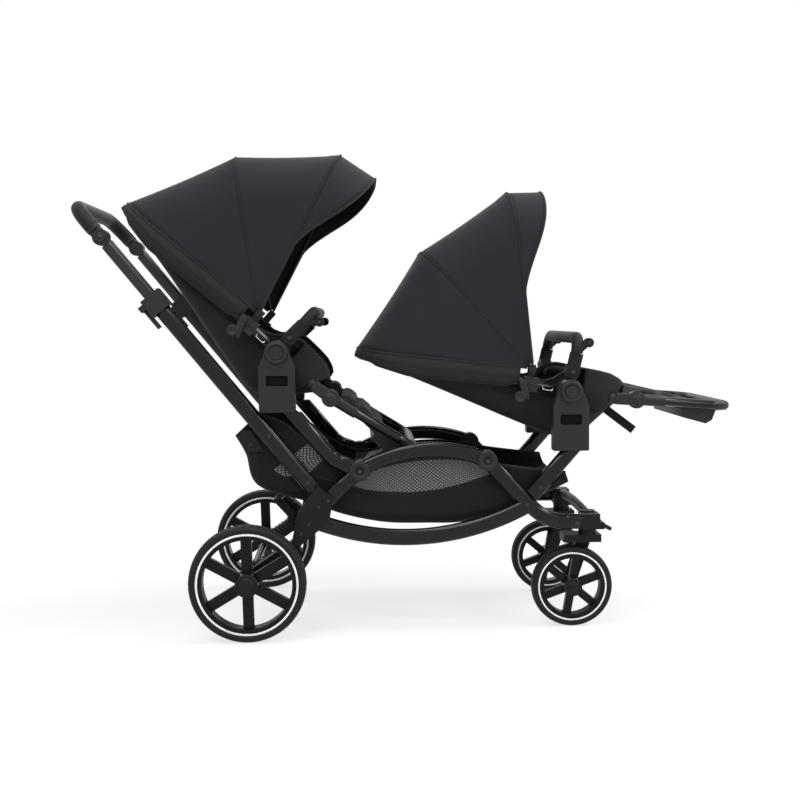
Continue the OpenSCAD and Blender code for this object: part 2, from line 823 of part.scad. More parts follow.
hub_house_d = 58;
cover_t = 7;
button_d = 30;
button_t = 13;
button_proud = 3;
socket_w = 28;
bumper_pin = [0, 46];
bumper_pin_d = 8;
bumper_arm_w = 32;
bumper_arm_t = 20;
bumper_top = [4, 90];
bumper_rise = 126;
bumper_bar_d = 28;
bumper_bend = 36;
gate_arm_shares = [0.6, 0.8];
gate_d = 22;
gate_at = [28, 118];
rail_front = 100;
bracket_len = 28;
bracket_h = 28;
ear_d = 42;
ear_t = 9;
leg_disc_d = 36;
leg_pin_d = 10;
leg_socket = 60;
sleeve_share = 1.25;
leg_y = leg_track / 2;
ear_in = leg_y + rail_d / 2 + run_gap;
board_shares = [[0.3, -0.03], [0.97, -0.03], [0.97, -0.045], [0.86, -0.06], [0.83, -0.16], [0.77, -0.2],
    [0.56, -0.16], [0.56, -0.09]];
board_w = 300;
hood_pivot = [-hood_back, hood_up];
hood_pin_d = 8;
clamp_len = 36;
clamp_h = 34;
hood_plate_t = 6;
rib_mid_y = rail_y + rib_d / 2;
rib_front_y = rib_mid_y + rib_d + 2 * run_gap;
rib_eye_d = 18;
outer_y = adapter_y + adapter_t + run_gap;

// A hoop that leans back: its feet lie foot behind the origin and its top reach behind it
module hoop(half, foot, reach, lean, bend, across, deep) {
    rotate([0, lean - 90, 0]) rotate([90, 0, 90])
        bent_tube([[-half, foot], [-half, reach], [half, reach], [half, foot]], bend, across, deep);
}

module seat_frame() {
    color("#2a2a2c") difference() {
        hoop(rail_y, -rail_front, back_len - rail_d / 2, back_rise, back_bend, rail_d, rail_d);
        both_sides() cross_bar([0, 0], hub_house_d + 2 * seat_gap, rail_y - rail_d, rail_y + rail_d);
    }
}

module hub_parts() {
    difference() {
        union() {
            cross_bar([0, 0], hub_house_d, rail_y - rail_d / 2, adapter_y - run_gap);
            cross_bar([0, 0], pivot_d, rail_y, outer_y + cover_t);
            cross_bar([0, 0], cover_d, outer_y, outer_y + cover_t);
            translate([-socket_w / 2, rail_y, 0])
                cube([socket_w, adapter_y - run_gap - rail_y, bumper_pin.y + socket_w / 2]);
            cross_bar(bumper_pin, bumper_pin_d, rail_y, adapter_y + bumper_arm_t);
        }
        cross_bar([0, 0], button_d + 2 * run_gap, outer_y + cover_t - button_t - run_gap,
            outer_y + 2 * cover_t);
    }
}

module leg_bracket() {
    start = turned(back_rise, [rail_front + seat_gap, 0]);
    upright((rail_y - rail_d / 2 + ear_in + ear_t) / 2)
        run(start, start + [bracket_len, 0], bracket_h, ear_in + ear_t - rail_y + rail_d / 2);
    upright(ear_in + ear_t / 2) run(start + [bracket_len / 2, 0], [leg_hinge_x, 0], bracket_h, ear_t);
    cross_bar([leg_hinge_x, 0], ear_d, ear_in, ear_in + ear_t);
    cross_bar([leg_hinge_x, 0], leg_pin_d, leg_y - rail_d / 2, ear_in + ear_t);
}

module hood_clamp() {
    at_rail = hood_back * sin(back_rise);
    difference() {
        union() {
            translate([-hood_back - clamp_len / 2, rail_y - rail_d / 2, at_rail - clamp_h / 2])
                cube([clamp_len, rail_d, clamp_h]);
            translate([-hood_back - clamp_len / 4, rail_y - rail_d / 2, 0])
                cube([clamp_len / 2, hood_plate_t, hood_up + clamp_len / 4]);
        }
        rotate([0, back_rise, 0]) upright(rail_y)
            run([-back_len, 0], [0, 0], rail_d + 2 * seat_gap, rail_d + 2 * seat_gap);
    }
    cross_bar(hood_pivot, hood_pin_d, rail_y - rail_d / 2, rib_front_y + rib_d / 2 + run_gap);
}

module seat_hubs() {
    color("#1e1e20") both_sides() {
        hub_parts();
        leg_bracket();
        hood_clamp();
    }
}

module tilt_button() {
    color("#2f2f31")
        cross_bar([0, 0], button_d, outer_y + cover_t - button_t + button_proud,
            outer_y + cover_t + button_proud);
}

module bumper() {
    arm_y = adapter_y + bumper_arm_t / 2;
    color("#18181b") {
        both_sides() difference() {
            union() {
                upright(arm_y) run(bumper_pin, bumper_top, bumper_arm_w, bumper_arm_t);
                cross_bar(bumper_pin, bumper_arm_w, adapter_y, adapter_y + bumper_arm_t);
                cross_bar(gate_at, gate_d, adapter_y, adapter_y + bumper_arm_t);
                upright(arm_y)
                    run(bumper_top, gate_at, gate_d * gate_arm_shares.x, bumper_arm_t * gate_arm_shares.y);
            }
            cross_bar(bumper_pin, bumper_pin_d + 2 * run_gap, 0, frame_track);
        }
        translate([bumper_top.x, 0, 0])
            hoop(arm_y, bumper_top.y, bumper_rise, 90, bumper_bend, bumper_bar_d, bumper_bar_d);
    }
}

module at_leg_hinge(lift) {
    translate([leg_hinge_x, 0, leg_hinge_z]) rotate([0, -lift, 0]) children();
}

module leg_rest() {
    color("#2c2c2e") difference() {
        union() {
            rotate([0, 0, 180])
                hoop(leg_y, leg_socket, leg_len - rail_d / 2, 0, 2 * rail_d, rail_d, rail_d);
            both_sides() {
                cross_bar([0, 0], leg_disc_d, leg_y - rail_d / 2, leg_y + rail_d / 2);
                upright(leg_y) run([0, 0], [leg_socket + rail_d / 2, 0], rail_d * sleeve_share, rail_d);
            }
            translate([0, -board_w / 2, 0]) slab(0, board_w)
                polygon([for (s = board_shares) s * leg_len]);
        }
        both_sides() cross_bar([0, 0], leg_pin_d + 2 * run_gap, 0, frame_track);
    }
}

// Cloth seat: an open bucket slung between the rails, with a straight back and a short pan

seat_half = rail_y - rail_d / 2 - seat_gap;
cloth_lift_share = 1.5;
cloth_lift = cloth_lift_share * cloth_wall;
shell_shares = [[-0.95, 0.1], [-0.04, -1], [0.1, -0.92], [0.27, -0.07], [0.27, 0.4], [0.24, 0.44],
    [0.05, 0.5], [0, 0.45], [-0.1, 0.12], [-0.95, 0.2]];
function shell_point(i) = [shell_shares[i].x * back_len, shell_shares[i].y * seat_depth];

module shell_outline() {
    polygon([for (i = [0:len(shell_shares) - 1]) shell_point(i)]);
}

// The space inside the back hoop, seen from above
shell_bend = back_bend - rail_d / 2 - seat_gap;
module hoop_inside() {
    far = back_len - rail_d - seat_gap;
    translate([shell_bend - far, -seat_half]) square([back_len, 2 * seat_half]);
    translate([-far, shell_bend - seat_half]) square([back_len, 2 * (seat_half - shell_bend)]);
    for (side = [-1, 1]) translate([shell_bend - far, side * (seat_half - shell_bend)])
        circle(r = shell_bend);
}

module seat_shell() {
    color("#2b282f") intersection() {
        difference() {
            slab(-seat_half, 2 * seat_half) shell_outline();
            translate([0, 0, cloth_lift]) slab(cloth_wall - seat_half, 2 * (seat_half - cloth_wall))
                shell_outline();
        }
        translate([0, 0, -2 * seat_depth]) linear_extrude(4 * seat_depth) hoop_inside();
    }
}

// A cushion with a crowned top, drawn-in long sides and sewn channels across it

cushion_rows = 18;
cushion_cols = 12;
cushion_edge_share = 0.35;
cushion_waist_share = 0.03;
channel_share = 0.3;
channel_width_share = 0.05;
function channel_dip(u, places) = max([0, for (c = places) 1 - abs(u - c) / channel_width_share]);
function crown(u, v) = (1 - pow(2 * u - 1, 6)) * (1 - pow(2 * v - 1, 4));
function cushion_top(u, v, places) = cushion_edge_share
    + (1 - cushion_edge_share) * crown(u, v) * (1 - channel_share * channel_dip(u, places));
function cushion_taper(u, taper) = 1 - taper * u;
function cushion_side(u, v) = (v - 0.5) * (1 - cushion_waist_share * sin(180 * u));
function grid_faces(rows, cols, base, flip) = [for (i = [0:rows - 1], j = [0:cols - 1])
    let (a = base + i * (cols + 1) + j, b = a + 1, c = a + cols + 1, d = c + 1)
    each flip ? [[a, b, d], [a, d, c]] : [[a, d, b], [a, c, d]]];
function rim_faces(ring, shift, flip) = [for (k = [0:len(ring) - 1])
    let (a = ring[k], b = ring[(k + 1) % len(ring)])
    each flip ? [[a, b, b + shift], [a, b + shift, a + shift]]
        : [[b, a, a + shift], [b, a + shift, b + shift]]];
function edge_ring(rows, cols) = concat(
    [for (j = [0:cols - 1]) j],
    [for (i = [0:rows - 1]) i * (cols + 1) + cols],
    [for (j = [cols:-1:1]) rows * (cols + 1) + j],
    [for (i = [rows:-1:1]) i * (cols + 1)]);

module skin(top, bottom, rows, cols) {
    count = (rows + 1) * (cols + 1);
    polyhedron(concat(top, bottom), concat(
        grid_faces(rows, cols, 0, true),
        grid_faces(rows, cols, count, false),
        rim_faces(edge_ring(rows, cols), count, false)));
}

module cushion(length, width, thick, places, taper = 0) {
    top = [for (i = [0:cushion_rows], j = [0:cushion_cols])
        let (u = i / cushion_rows, v = j / cushion_cols)
        [u * length, cushion_side(u, v) * width,
            thick * cushion_taper(u, taper) * cushion_top(u, v, places)]];
    bottom = [for (p = top) [p.x, p.y, 0]];
    skin(top, bottom, cushion_rows, cushion_cols);
}

pad_side_gap = 10;
pad_w = 2 * (seat_half - cloth_wall - pad_side_gap);
pad_inset = 22;
pad_top_gap = 16;
pan_inset_share = 1.5;
back_channels = [0.25, 0.5, 0.75];
pan_channels = [0.5];
leg_channels = [0.35, 0.7];
strap_w = 32;
strap_t = 3;
strap_len_share = 0.62;
strap_y = 55;
buckle_w = 52;
buckle_t = 14;
buckle_shares = [0.8, 0.5];
leg_pad_share = 0.56;
leg_pad_t = 46;
leg_pad_taper_share = 0.6;

// Puts a drawing on the inner face of the cloth between two outline points
module on_cloth(i, j) {
    a = shell_point(i);
    b = shell_point(j);
    way = heading(a, b);
    lift = cloth_lift * abs(cos(way)) + seat_gap;
    translate([a.x, 0, a.y]) rotate([0, -way, 0]) mirror([0, 0, b.x < a.x ? 1 : 0])
        translate([pad_inset, 0, lift]) children();
}

back_pad_len = norm(shell_point(0) - shell_point(1)) - 2 * pad_inset - pad_top_gap;
pan_pad_len = norm(shell_point(3) - shell_point(2)) - pan_inset_share * pad_inset;

module seat_pad() {
    color("#232127") {
        on_cloth(1, 0) cushion(back_pad_len, pad_w, pad_t, back_channels);
        on_cloth(2, 3) cushion(pan_pad_len, pad_w, pad_t, pan_channels);
    }
}

module harness() {
    color("#19191b") on_cloth(1, 0) translate([0, 0, pad_t + seat_gap]) {
        for (side = [-1, 1]) translate([buckle_w, side * strap_y - strap_w / 2, 0])
            cube([back_pad_len * strap_len_share, strap_w, strap_t]);
        translate([buckle_w * buckle_shares.x, -strap_y, 0]) cube([strap_w, 2 * strap_y, strap_t]);
        translate([buckle_w * buckle_shares.y, -buckle_w / 2, 0]) cube([buckle_w, buckle_w, buckle_t]);
    }
}

module leg_pad() {
    color("#232127") translate([leg_disc_d / 2 + 2 * seat_gap, 0, -rail_d / 4])
        cushion(leg_len * leg_pad_share, 2 * (leg_y - rail_d / 2 - seat_gap), leg_pad_t, leg_channels,
            leg_pad_taper_share);
}

// Canopy: thin ribs that turn on the canopy pins, with cloth panels between them

module rib(half, reach, angle) {
    color("#1b1b1d") translate([hood_pivot.x, 0, hood_pivot.y]) difference() {
        union() {
            hoop(half, 0, reach, 180 - angle, rib_bend, rib_d, rib_d);
            both_sides() cross_bar([0, 0], rib_eye_d, half - rib_d / 2, half + rib_d / 2);
        }
        both_sides() cross_bar([0, 0], hood_pin_d + 2 * run_gap, 0, frame_track);
    }
}

hood_low = 24;
hood_sag = 3;
hood_ease = 1.3;
visor_flare_share = 0.3;
hood_rows = 5;
hood_side_steps = 3;
hood_bend_steps = 5;
hood_rear_a = 181.5;
hood_rear_r = 413;
hood_clear = rib_d / 2 + seat_gap + hood_ease;

function hoop_side(half, reach, bend) = concat(
    [for (k = [0:hood_side_steps - 1]) [half, hood_low + (reach - bend - hood_low) * k / hood_side_steps]],
    [for (k = [0:hood_bend_steps]) let (t = 90 * k / hood_bend_steps)
        [half - bend + bend * cos(t), reach - bend + bend * sin(t)]]);
function hoop_points(half, reach, bend) = let (one = hoop_side(half, reach, bend))
    concat(one, [for (k = [len(one) - 1:-1:0]) [-one[k].x, one[k].y]]);
function panel_point(p, a) = [hood_pivot.x + p.y * cos(a), p.x, hood_pivot.y + p.y * sin(a)];
function mix(a, b, s) = a + (b - a) * s;
function panel_edge(edge, wall, dip) =
    hoop_points(edge[1] + wall - dip / 2, edge[2] + wall - dip, rib_bend + wall);
function panel_width(p, reach, flare) = flare + (1 - flare) * (p.y - hood_low) / (reach - hood_low);
function panel_grid(from, to, sag, wall, flare) = [for (i = [0:hood_rows]) let (
        s = i / hood_rows,
        dip = sag * sin(180 * s),
        a = panel_edge(from, wall, dip),
        b = panel_edge(to, wall, dip))
    each [for (k = [0:len(a) - 1]) mix(
        panel_point(a[k], from[0]),
        panel_point(b[k], mix(from[0], to[0], panel_width(b[k], to[2], flare))), s)]];

// A panel runs from one edge to the next; an edge is its angle, half width and reach
module panel(from, to, sag, flare = 1) {
    cols = 2 * (hood_side_steps + hood_bend_steps + 1) - 1;
    color("#2b282f") skin(panel_grid(from, to, sag, hood_wall, flare), panel_grid(from, to, sag, 0, flare),
        hood_rows, cols);
}

module front_panel() {
    panel(edge_mid - seam, edge_front + seam, hood_sag);
}

module peak() {
    panel(edge_front - seam, edge_visor, 0, visor_flare_share);
}

seam_a = 0.05;
edge_rear = [hood_rear_a, rib_mid_y + hood_clear, hood_rear_r];
edge_mid = [rib_mid_a, rib_mid_y + hood_clear, rib_mid_r + hood_clear];
edge_front = [rib_front_a, rib_front_y + hood_clear, rib_front_r + hood_clear];
edge_visor = [visor_a, rib_front_y + hood_clear, rib_front_r + hood_clear];
seam = [seam_a, 0, 0];

// Basket: an open cloth tub under the seats

basket_x = -42;
basket_len = 807;
basket_h = 270;
basket_half = frame_y - push_w / 2 - seat_gap;
basket_shares = [
    [0.075, 1], [0, 0.82], [0.037, 0.637], [0.071, 0.33], [0.226, 0.193], [0.33, 0.08], [0.449, 0.007],
    [0.569, 0], [0.673, 0.01], [0.777, 0.115], [0.893, 0.26], [1, 0.38], [0.976, 0.455], [0.84, 0.5],
    [0.737, 0.56], [0.635, 0.6], [0.498, 0.57], [0.379, 0.5], [0.329, 0.535], [0.222, 0.76], [0.15, 0.94]];

module basket_outline(inset) {
    translate([basket_x + inset, basket_floor])
        polygon([for (s = basket_shares) [s.x * (basket_len - 2 * inset), s.y * basket_h]]);
}

module basket() {
    color("#1c1b1f") at_origin() difference() {
        slab(-basket_half, 2 * basket_half) basket_outline(0);
        translate([0, 0, basket_wall]) slab(basket_wall - basket_half, 2 * (basket_half - basket_wall))
            basket_outline(2 * basket_wall);
    }
}

module rear_place() {
    seat_place(hub_rear, rear_seat_tilt) children();
}

module front_place() {
    seat_place(hub_front, front_seat_tilt) children();
}

push_tubes();
seat_posts();
side_beams();
leg_tubes();
hinge_covers();
rear_blocks();
rear_axle();
suspension_springs();
front_knuckles();
seat_adapters();
clamp_collars();
basket();
handle_tubes();
handle_joints();
handle_grip();
clamp_lever_left();
clamp_lever_right();
brake_pedal();
fork_left();
fork_right();
swivel_lock_left();
swivel_lock_right();
rear_tyre(1);  // rear_tyre_left
rear_tyre(-1);  // rear_tyre_right
front_tyre(1);  // front_tyre_left
front_tyre(-1);  // front_tyre_right
rear_rim(1);  // rear_rim_left
rear_rim(-1);  // rear_rim_right
front_rim(1);  // front_rim_left
front_rim(-1);  // front_rim_right
rear_place() seat_frame();  // rear_seat_frame
rear_place() seat_hubs();  // rear_seat_hubs
rear_place() bumper();  // rear_bumper
rear_place() at_leg_hinge(rear_leg_lift) leg_rest();  // rear_leg_rest
rear_place() at_leg_hinge(rear_leg_lift) leg_pad();  // rear_leg_pad
rear_place() seat_shell();  // rear_seat_shell
rear_place() seat_pad();  // rear_seat_pad
rear_place() harness();  // rear_harness
rear_place() rib(rib_mid_y, rib_mid_r, rib_mid_a);  // rear_rib_mid
rear_place() rib(rib_front_y, rib_front_r, rib_front_a);  // rear_rib_front
rear_place() panel(edge_rear, edge_mid + seam, hood_sag);  // rear_hood_back
rear_place() front_panel();  // rear_hood_front
rear_place() peak();  // rear_visor
rear_place() tilt_button();  // rear_button_left
rear_place() mirror([0, 1, 0]) tilt_button();  // rear_button_right
front_place() seat_frame();  // front_seat_frame
front_place() seat_hubs();  // front_seat_hubs
front_place() bumper();  // front_bumper
front_place() at_leg_hinge(front_leg_lift) leg_rest();  // front_leg_rest
front_place() at_leg_hinge(front_leg_lift) leg_pad();  // front_leg_pad
front_place() seat_shell();  // front_seat_shell
front_place() seat_pad();  // front_seat_pad
front_place() harness();  // front_harness
front_place() rib(rib_mid_y, rib_mid_r, rib_mid_a);  // front_rib_mid
front_place() rib(rib_front_y, rib_front_r, rib_front_a);  // front_rib_front
front_place() panel(edge_rear, edge_mid + seam, hood_sag);  // front_hood_back
front_place() front_panel();  // front_hood_front
front_place() peak();  // front_visor
front_place() tilt_button();  // front_button_left
front_place() mirror([0, 1, 0]) tilt_button();  // front_button_right
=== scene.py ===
# %% [markdown]
# A tandem stroller, dressed over its measured frame. The frame arrives as finished solids,
# one object for each part, already in metres and in place. This lesson gives every part its
# finish and makes the soft goods, because cloth is what solids show least well.

# %% Load the frame
import math
import bpy
import bmesh
from mathutils import Matrix, Vector


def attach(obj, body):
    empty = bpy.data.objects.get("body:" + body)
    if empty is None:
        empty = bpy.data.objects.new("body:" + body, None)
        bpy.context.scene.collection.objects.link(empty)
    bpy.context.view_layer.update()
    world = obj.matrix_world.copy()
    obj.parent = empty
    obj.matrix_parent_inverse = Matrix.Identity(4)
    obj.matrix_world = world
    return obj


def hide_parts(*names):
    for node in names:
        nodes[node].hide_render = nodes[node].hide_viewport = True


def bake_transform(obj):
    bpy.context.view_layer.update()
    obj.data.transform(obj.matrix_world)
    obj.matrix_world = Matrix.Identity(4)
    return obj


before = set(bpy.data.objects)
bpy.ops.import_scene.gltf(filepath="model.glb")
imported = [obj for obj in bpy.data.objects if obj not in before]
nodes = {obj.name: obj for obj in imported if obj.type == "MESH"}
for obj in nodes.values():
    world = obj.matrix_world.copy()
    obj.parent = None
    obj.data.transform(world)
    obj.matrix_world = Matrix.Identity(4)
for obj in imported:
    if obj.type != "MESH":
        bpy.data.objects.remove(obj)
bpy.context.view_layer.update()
scene = bpy.context.scene
scene.view_settings.view_transform = "Standard"

# %% [markdown]
# The camera stands where the photographer stood: nearly square to the side, a little above
# the seats and looking slightly down. Yaw, pitch and roll give its three directions, and the
# lens comes from how large the wheels look.

# %% Camera
YAW, PITCH, ROLL = 0.03504, 0.07014, -0.00915
ahead = Vector((math.sin(YAW) * math.cos(PITCH), math.cos(YAW) * math.cos(PITCH), -math.sin(PITCH)))
level = Vector((math.cos(YAW), -math.sin(YAW), 0))
upward = level.cross(ahead)
right = level * math.cos(ROLL) + upward * math.sin(ROLL)
above = upward * math.cos(ROLL) - level * math.sin(ROLL)
lens = bpy.data.cameras.new("camera")
lens.sensor_width = 36
lens.lens = 51.913
camera = bpy.data.objects.new("camera", lens)
scene.collection.objects.link(camera)
camera.matrix_world = Matrix((
    (right.x, above.x, -ahead.x, -0.1180),
    (right.y, above.y, -ahead.y, -2.8862),
    (right.z, above.z, -ahead.z, 0.7351),
    (0, 0, 0, 1)))
scene.camera = camera
print("camera looks along", [round(c, 3) for c in ahead])

# %% [markdown]
# Everything on the stroller is black, so its forms are read from soft highlights. Wide lamps
# above and to the sides give long, gentle ones along the tubes.

# %% Lamps
def lamp(name, place, aim, size, watts):
    """A wide soft panel at a place, turned to a point."""
    data = bpy.data.lights.new(name, "AREA")
    data.shape = "RECTANGLE"
    data.size, data.size_y = size
    data.energy = watts
    item = bpy.data.objects.new(name, data)
    scene.collection.objects.link(item)
    item.location = place
    item.rotation_euler = (Vector(aim) - Vector(place)).to_track_quat("-Z", "Y").to_euler()
    return item


lamps = [
    lamp("key", (-1.3, -2.4, 3.1), (0, 0, 0.6), (2.6, 0.55), 68),
    lamp("fill", (2.4, -2.8, 1.6), (0, 0, 0.5), (0.7, 1.6), 21),
    lamp("top", (0.2, -0.2, 3.4), (0, 0, 0.5), (3.0, 0.5), 60),
    lamp("edge", (2.6, -0.3, 2.5), (-0.2, 0, 0.6), (2.6, 0.5), 66),
    lamp("rear", (-0.6, 3.0, 2.2), (0, 0, 0.6), (2.6, 0.9), 28)]
print("lamps:", len(lamps))

# %% [markdown]
# Finishes are written as small sums. One class wraps a socket, so that Python's own operators
# add the Math nodes, and one method adds any other node with its settings and its links.

# %% A short way to write shader maths
class Sum:
    """A value in a material; plain operators on it add the nodes that work it out."""

    def __init__(self, finish, socket):
        self.finish, self.socket = finish, socket

    def out(self, name):
        return Sum(self.finish, self.socket.node.outputs[name])

    def _do(self, operation, *values):
        return self.finish.node("ShaderNodeMath", {"operation": operation}, *values)

    def __add__(self, other): return self._do("ADD", self, other)
    def __radd__(self, other): return self._do("ADD", other, self)
    def __sub__(self, other): return self._do("SUBTRACT", self, other)
    def __rsub__(self, other): return self._do("SUBTRACT", other, self)
    def __mul__(self, other): return self._do("MULTIPLY", self, other)
    def __rmul__(self, other): return self._do("MULTIPLY", other, self)
    def __truediv__(self, other): return self._do("DIVIDE", self, other)
    def __lt__(self, other): return self._do("LESS_THAN", self, other)
    def __gt__(self, other): return self._do("GREATER_THAN", self, other)
    def sin(self): return self._do("SINE", self)
    def abs(self): return self._do("ABSOLUTE", self)
    def wrap(self): return self._do("FRACT", self)
    def most(self, other): return self._do("MAXIMUM", self, other)
    def least(self, other): return self._do("MINIMUM", self, other)


class Nodes:
    """A node tree, with one method that adds any node."""

    def __init__(self, tree):
        self.tree = tree

    def put(self, socket, value):
        if isinstance(value, Sum):
            self.tree.links.new(value.socket, socket)
        else:
            socket.default_value = value

    def node(self, kind, settings, *values, **named):
        made = self.tree.nodes.new(kind)
        for key, setting in settings.items():
            setattr(made, key, setting)
        for place, value in enumerate(values):
            self.put(made.inputs[place], value)
        for key, value in named.items():
            self.put(made.inputs[key], value)
        return Sum(self, next(o for o in made.outputs if o.enabled))

    def seen(self):
        """1 where a ray shows the background itself: straight on, mirrored or through glass."""
        ray = self.node("ShaderNodeLightPath", {})
        shown = ray.out("Is Camera Ray").most(ray.out("Is Glossy Ray"))
        return shown.most(ray.out("Is Transmission Ray"))


class Finish(Nodes):
    """One material, with its shader ready to take what varies over the surface."""

    def __init__(self, name, color, rough, metal=0.0, coat=0.0, sheen=0.0, specular=0.5):
        self.material = bpy.data.materials.new(name)
        self.material.use_nodes = True
        super().__init__(self.material.node_tree)
        self.shader = self.tree.nodes["Principled BSDF"]
        self.color = color
        self.shader.inputs["Base Color"].default_value = (*color, 1)
        self.shader.inputs["Roughness"].default_value = rough
        self.shader.inputs["Metallic"].default_value = metal
        self.shader.inputs["Coat Weight"].default_value = coat
        self.shader.inputs["Sheen Weight"].default_value = sheen
        self.shader.inputs["Sheen Roughness"].default_value = 0.4
        self.shader.inputs["Specular IOR Level"].default_value = specular
        self.material.diffuse_color = (*color, 1)

    def place(self):
        return self.node("ShaderNodeTexCoord", {}).out("Object")

    def on_cloth(self):
        """Width and length along the cloth, in metres, from its own map."""
        parts = self.node("ShaderNodeSeparateXYZ", {}, self.node("ShaderNodeTexCoord", {}).out("UV"))
        return parts.out("X"), parts.out("Y")

    def noise(self, scale, where=None, detail=2.0):
        made = self.node("ShaderNodeTexNoise", {}, Vector=where or self.place(), Scale=scale, Detail=detail)
        return made.out("Fac")

    def tint(self, amount, dark, pale):
        return self.node("ShaderNodeMixRGB", {}, amount, (*dark, 1), (*pale, 1))

    def feed(self, name, value):
        self.put(self.shader.inputs[name], value)
        return self

    def bump(self, height, distance, strength=1.0):
        made = self.node("ShaderNodeBump", {}, Height=height, Distance=distance, Strength=strength)
        return self.feed("Normal", made)


def shade(color, share):
    return tuple(c * share for c in color)


print("shader maths ready")

# %% [markdown]
# The world is white where it is looked at, mirrored or seen through, and gives about half of
# that as light, so that black stays black.

# %% World
world = bpy.data.worlds.new("studio")
scene.world = world
world.use_nodes = True
sky = Nodes(world.node_tree)
back = sky.tree.nodes["Background"]
back.inputs["Color"].default_value = (1, 1, 1, 1)
sky.put(back.inputs["Strength"], 0.36 + 0.64 * sky.seen())
print("world ready")

# %% [markdown]
# The frame is painted satin black. Real paint is never one flat tone: it clouds slightly over
# a hand's width and has a fine orange peel. Moulded parts are duller, with a spark-eroded
# grain, the blocks near the wheels are a deeper black, and the sliding tubes are dark anodised
# aluminium with faint marks along them.

# %% Finishes of the rigid parts
def painted(name, color, low, high, grain, depth, **more):
    f = Finish(name, color, low, **more)
    cloud = f.noise(17.0)
    f.feed("Roughness", low + (high - low) * cloud)
    f.feed("Base Color", f.tint(cloud, shade(color, 0.75), shade(color, 1.3)))
    f.bump(f.noise(grain, detail=1.0), depth, 0.35)
    return f.material


paint = painted("satin_paint", (0.0040, 0.0040, 0.0043), 0.13, 0.20, 700, 0.00004, specular=0.27)
moulded = painted("moulded_plastic", (0.0098, 0.0098, 0.0102), 0.42, 0.56, 1300, 0.00016, specular=0.28)
glossy = painted("wheel_plastic", (0.0036, 0.0036, 0.0038), 0.26, 0.38, 500, 0.00006, specular=0.15)
cast = painted("block_plastic", (0.0046, 0.0046, 0.0048), 0.40, 0.54, 1300, 0.00016, specular=0.18)
rubber = painted("tyre_rubber", (0.0060, 0.0060, 0.0060), 0.5, 0.66, 900, 0.00022, specular=0.2)
foam = painted("foam_sleeve", (0.0062, 0.006, 0.0064), 0.6, 0.76, 620, 0.00045, sheen=0.06, specular=0.2)
rod = painted("rib_plastic", (0.0085, 0.0085, 0.009), 0.38, 0.5, 1100, 0.0001, specular=0.25)
white = painted("pale_ring", (0.74, 0.74, 0.725), 0.34, 0.46, 600, 0.00005)
steel = painted("black_spring", (0.02, 0.02, 0.021), 0.3, 0.42, 800, 0.00005, metal=0.4)
# near-black: painted shade for the recess of each adapter's slot
hollow = painted("painted_slot_shade", (0.0025, 0.0025, 0.0026), 0.7, 0.8, 900, 0.00004, specular=0.1)
wire = painted("plated_wire", (0.6, 0.6, 0.61), 0.2, 0.3, 800, 0.00003, metal=1.0)
screw = painted("blackened_screw", (0.006, 0.006, 0.006), 0.22, 0.32, 900, 0.00004)


def anodised():
    color = (0.034, 0.034, 0.036)
    f = Finish("anodised_tube", color, 0.36, metal=0.75, specular=0.3)
    stretched = f.node("ShaderNodeMapping", {}, Vector=f.place(), Scale=(60, 900, 60))
    marks = f.noise(1.0, stretched)
    f.feed("Roughness", 0.24 + 0.12 * marks)
    f.feed("Base Color", f.tint(marks, shade(color, 0.8), shade(color, 1.2)))
    f.bump(marks, 0.00004, 0.3)
    return f.material


tube_grey = anodised()
print("rigid finishes:", len(bpy.data.materials))

# %% [markdown]
# A part from a drawing has knife edges, and those give it away at once. Each solid is welded
# into one skin and gets a small rounded edge, as a moulding or a sawn tube has.

# %% Dress the solids
dressing = {
    paint: ["push_tubes", "seat_posts", "side_beams", "leg_tubes", "rear_axle"],
    moulded: ["hinge_covers", "seat_adapters", "clamp_collars", "handle_joints", "clamp_lever_left",
              "clamp_lever_right"],
    cast: ["rear_blocks", "front_knuckles", "brake_pedal", "fork_left", "fork_right",
           "swivel_lock_left", "swivel_lock_right"],
    glossy: ["rear_rim_left", "rear_rim_right", "front_rim_left", "front_rim_right"],
    tube_grey: ["handle_tubes"],
    foam: ["handle_grip"],
    steel: ["suspension_springs"]}
for seat in ("rear", "front"):
    dressing[paint].append(seat + "_seat_frame")
    dressing[moulded] += [seat + "_seat_hubs", seat + "_button_left", seat + "_button_right"]
    dressing[paint].append(seat + "_leg_rest")
    dressing[foam].append(seat + "_bumper")
    dressing[rod] = dressing.get(rod, []) + [seat + "_rib_mid", seat + "_rib_front"]
round_edges = {"seat_adapters": 2.5, "clamp_collars": 2.5, "rear_blocks": 2.0, "brake_pedal": 2.0,
               "front_knuckles": 4.0, "fork_left": 3.0, "fork_right": 3.0}
for material, names in dressing.items():
    for name in names:
        part = nodes[name]
        part.data.materials.clear()
        part.data.materials.append(material)
        weld = part.modifiers.new("weld", "WELD")
        weld.merge_threshold = 0.00002
        edge = part.modifiers.new("edge", "BEVEL")
        edge.limit_method = "ANGLE"
        edge.angle_limit = math.radians(40)
        edge.width = round_edges.get(name, 1.2) / 1000
        edge.segments = 2
        edge.use_clamp_overlap = True
        if material not in (paint, tube_grey):
            even = part.modifiers.new("even", "WEIGHTED_NORMAL")
            even.keep_sharp = True
print("dressed:", sum(len(names) for names in dressing.values()))

# %% [markdown]
# Most pieces below start as a few points or a plain grid, which an operator then spins,
# bends or thickens. These helpers turn the result into an object that rides on a body.

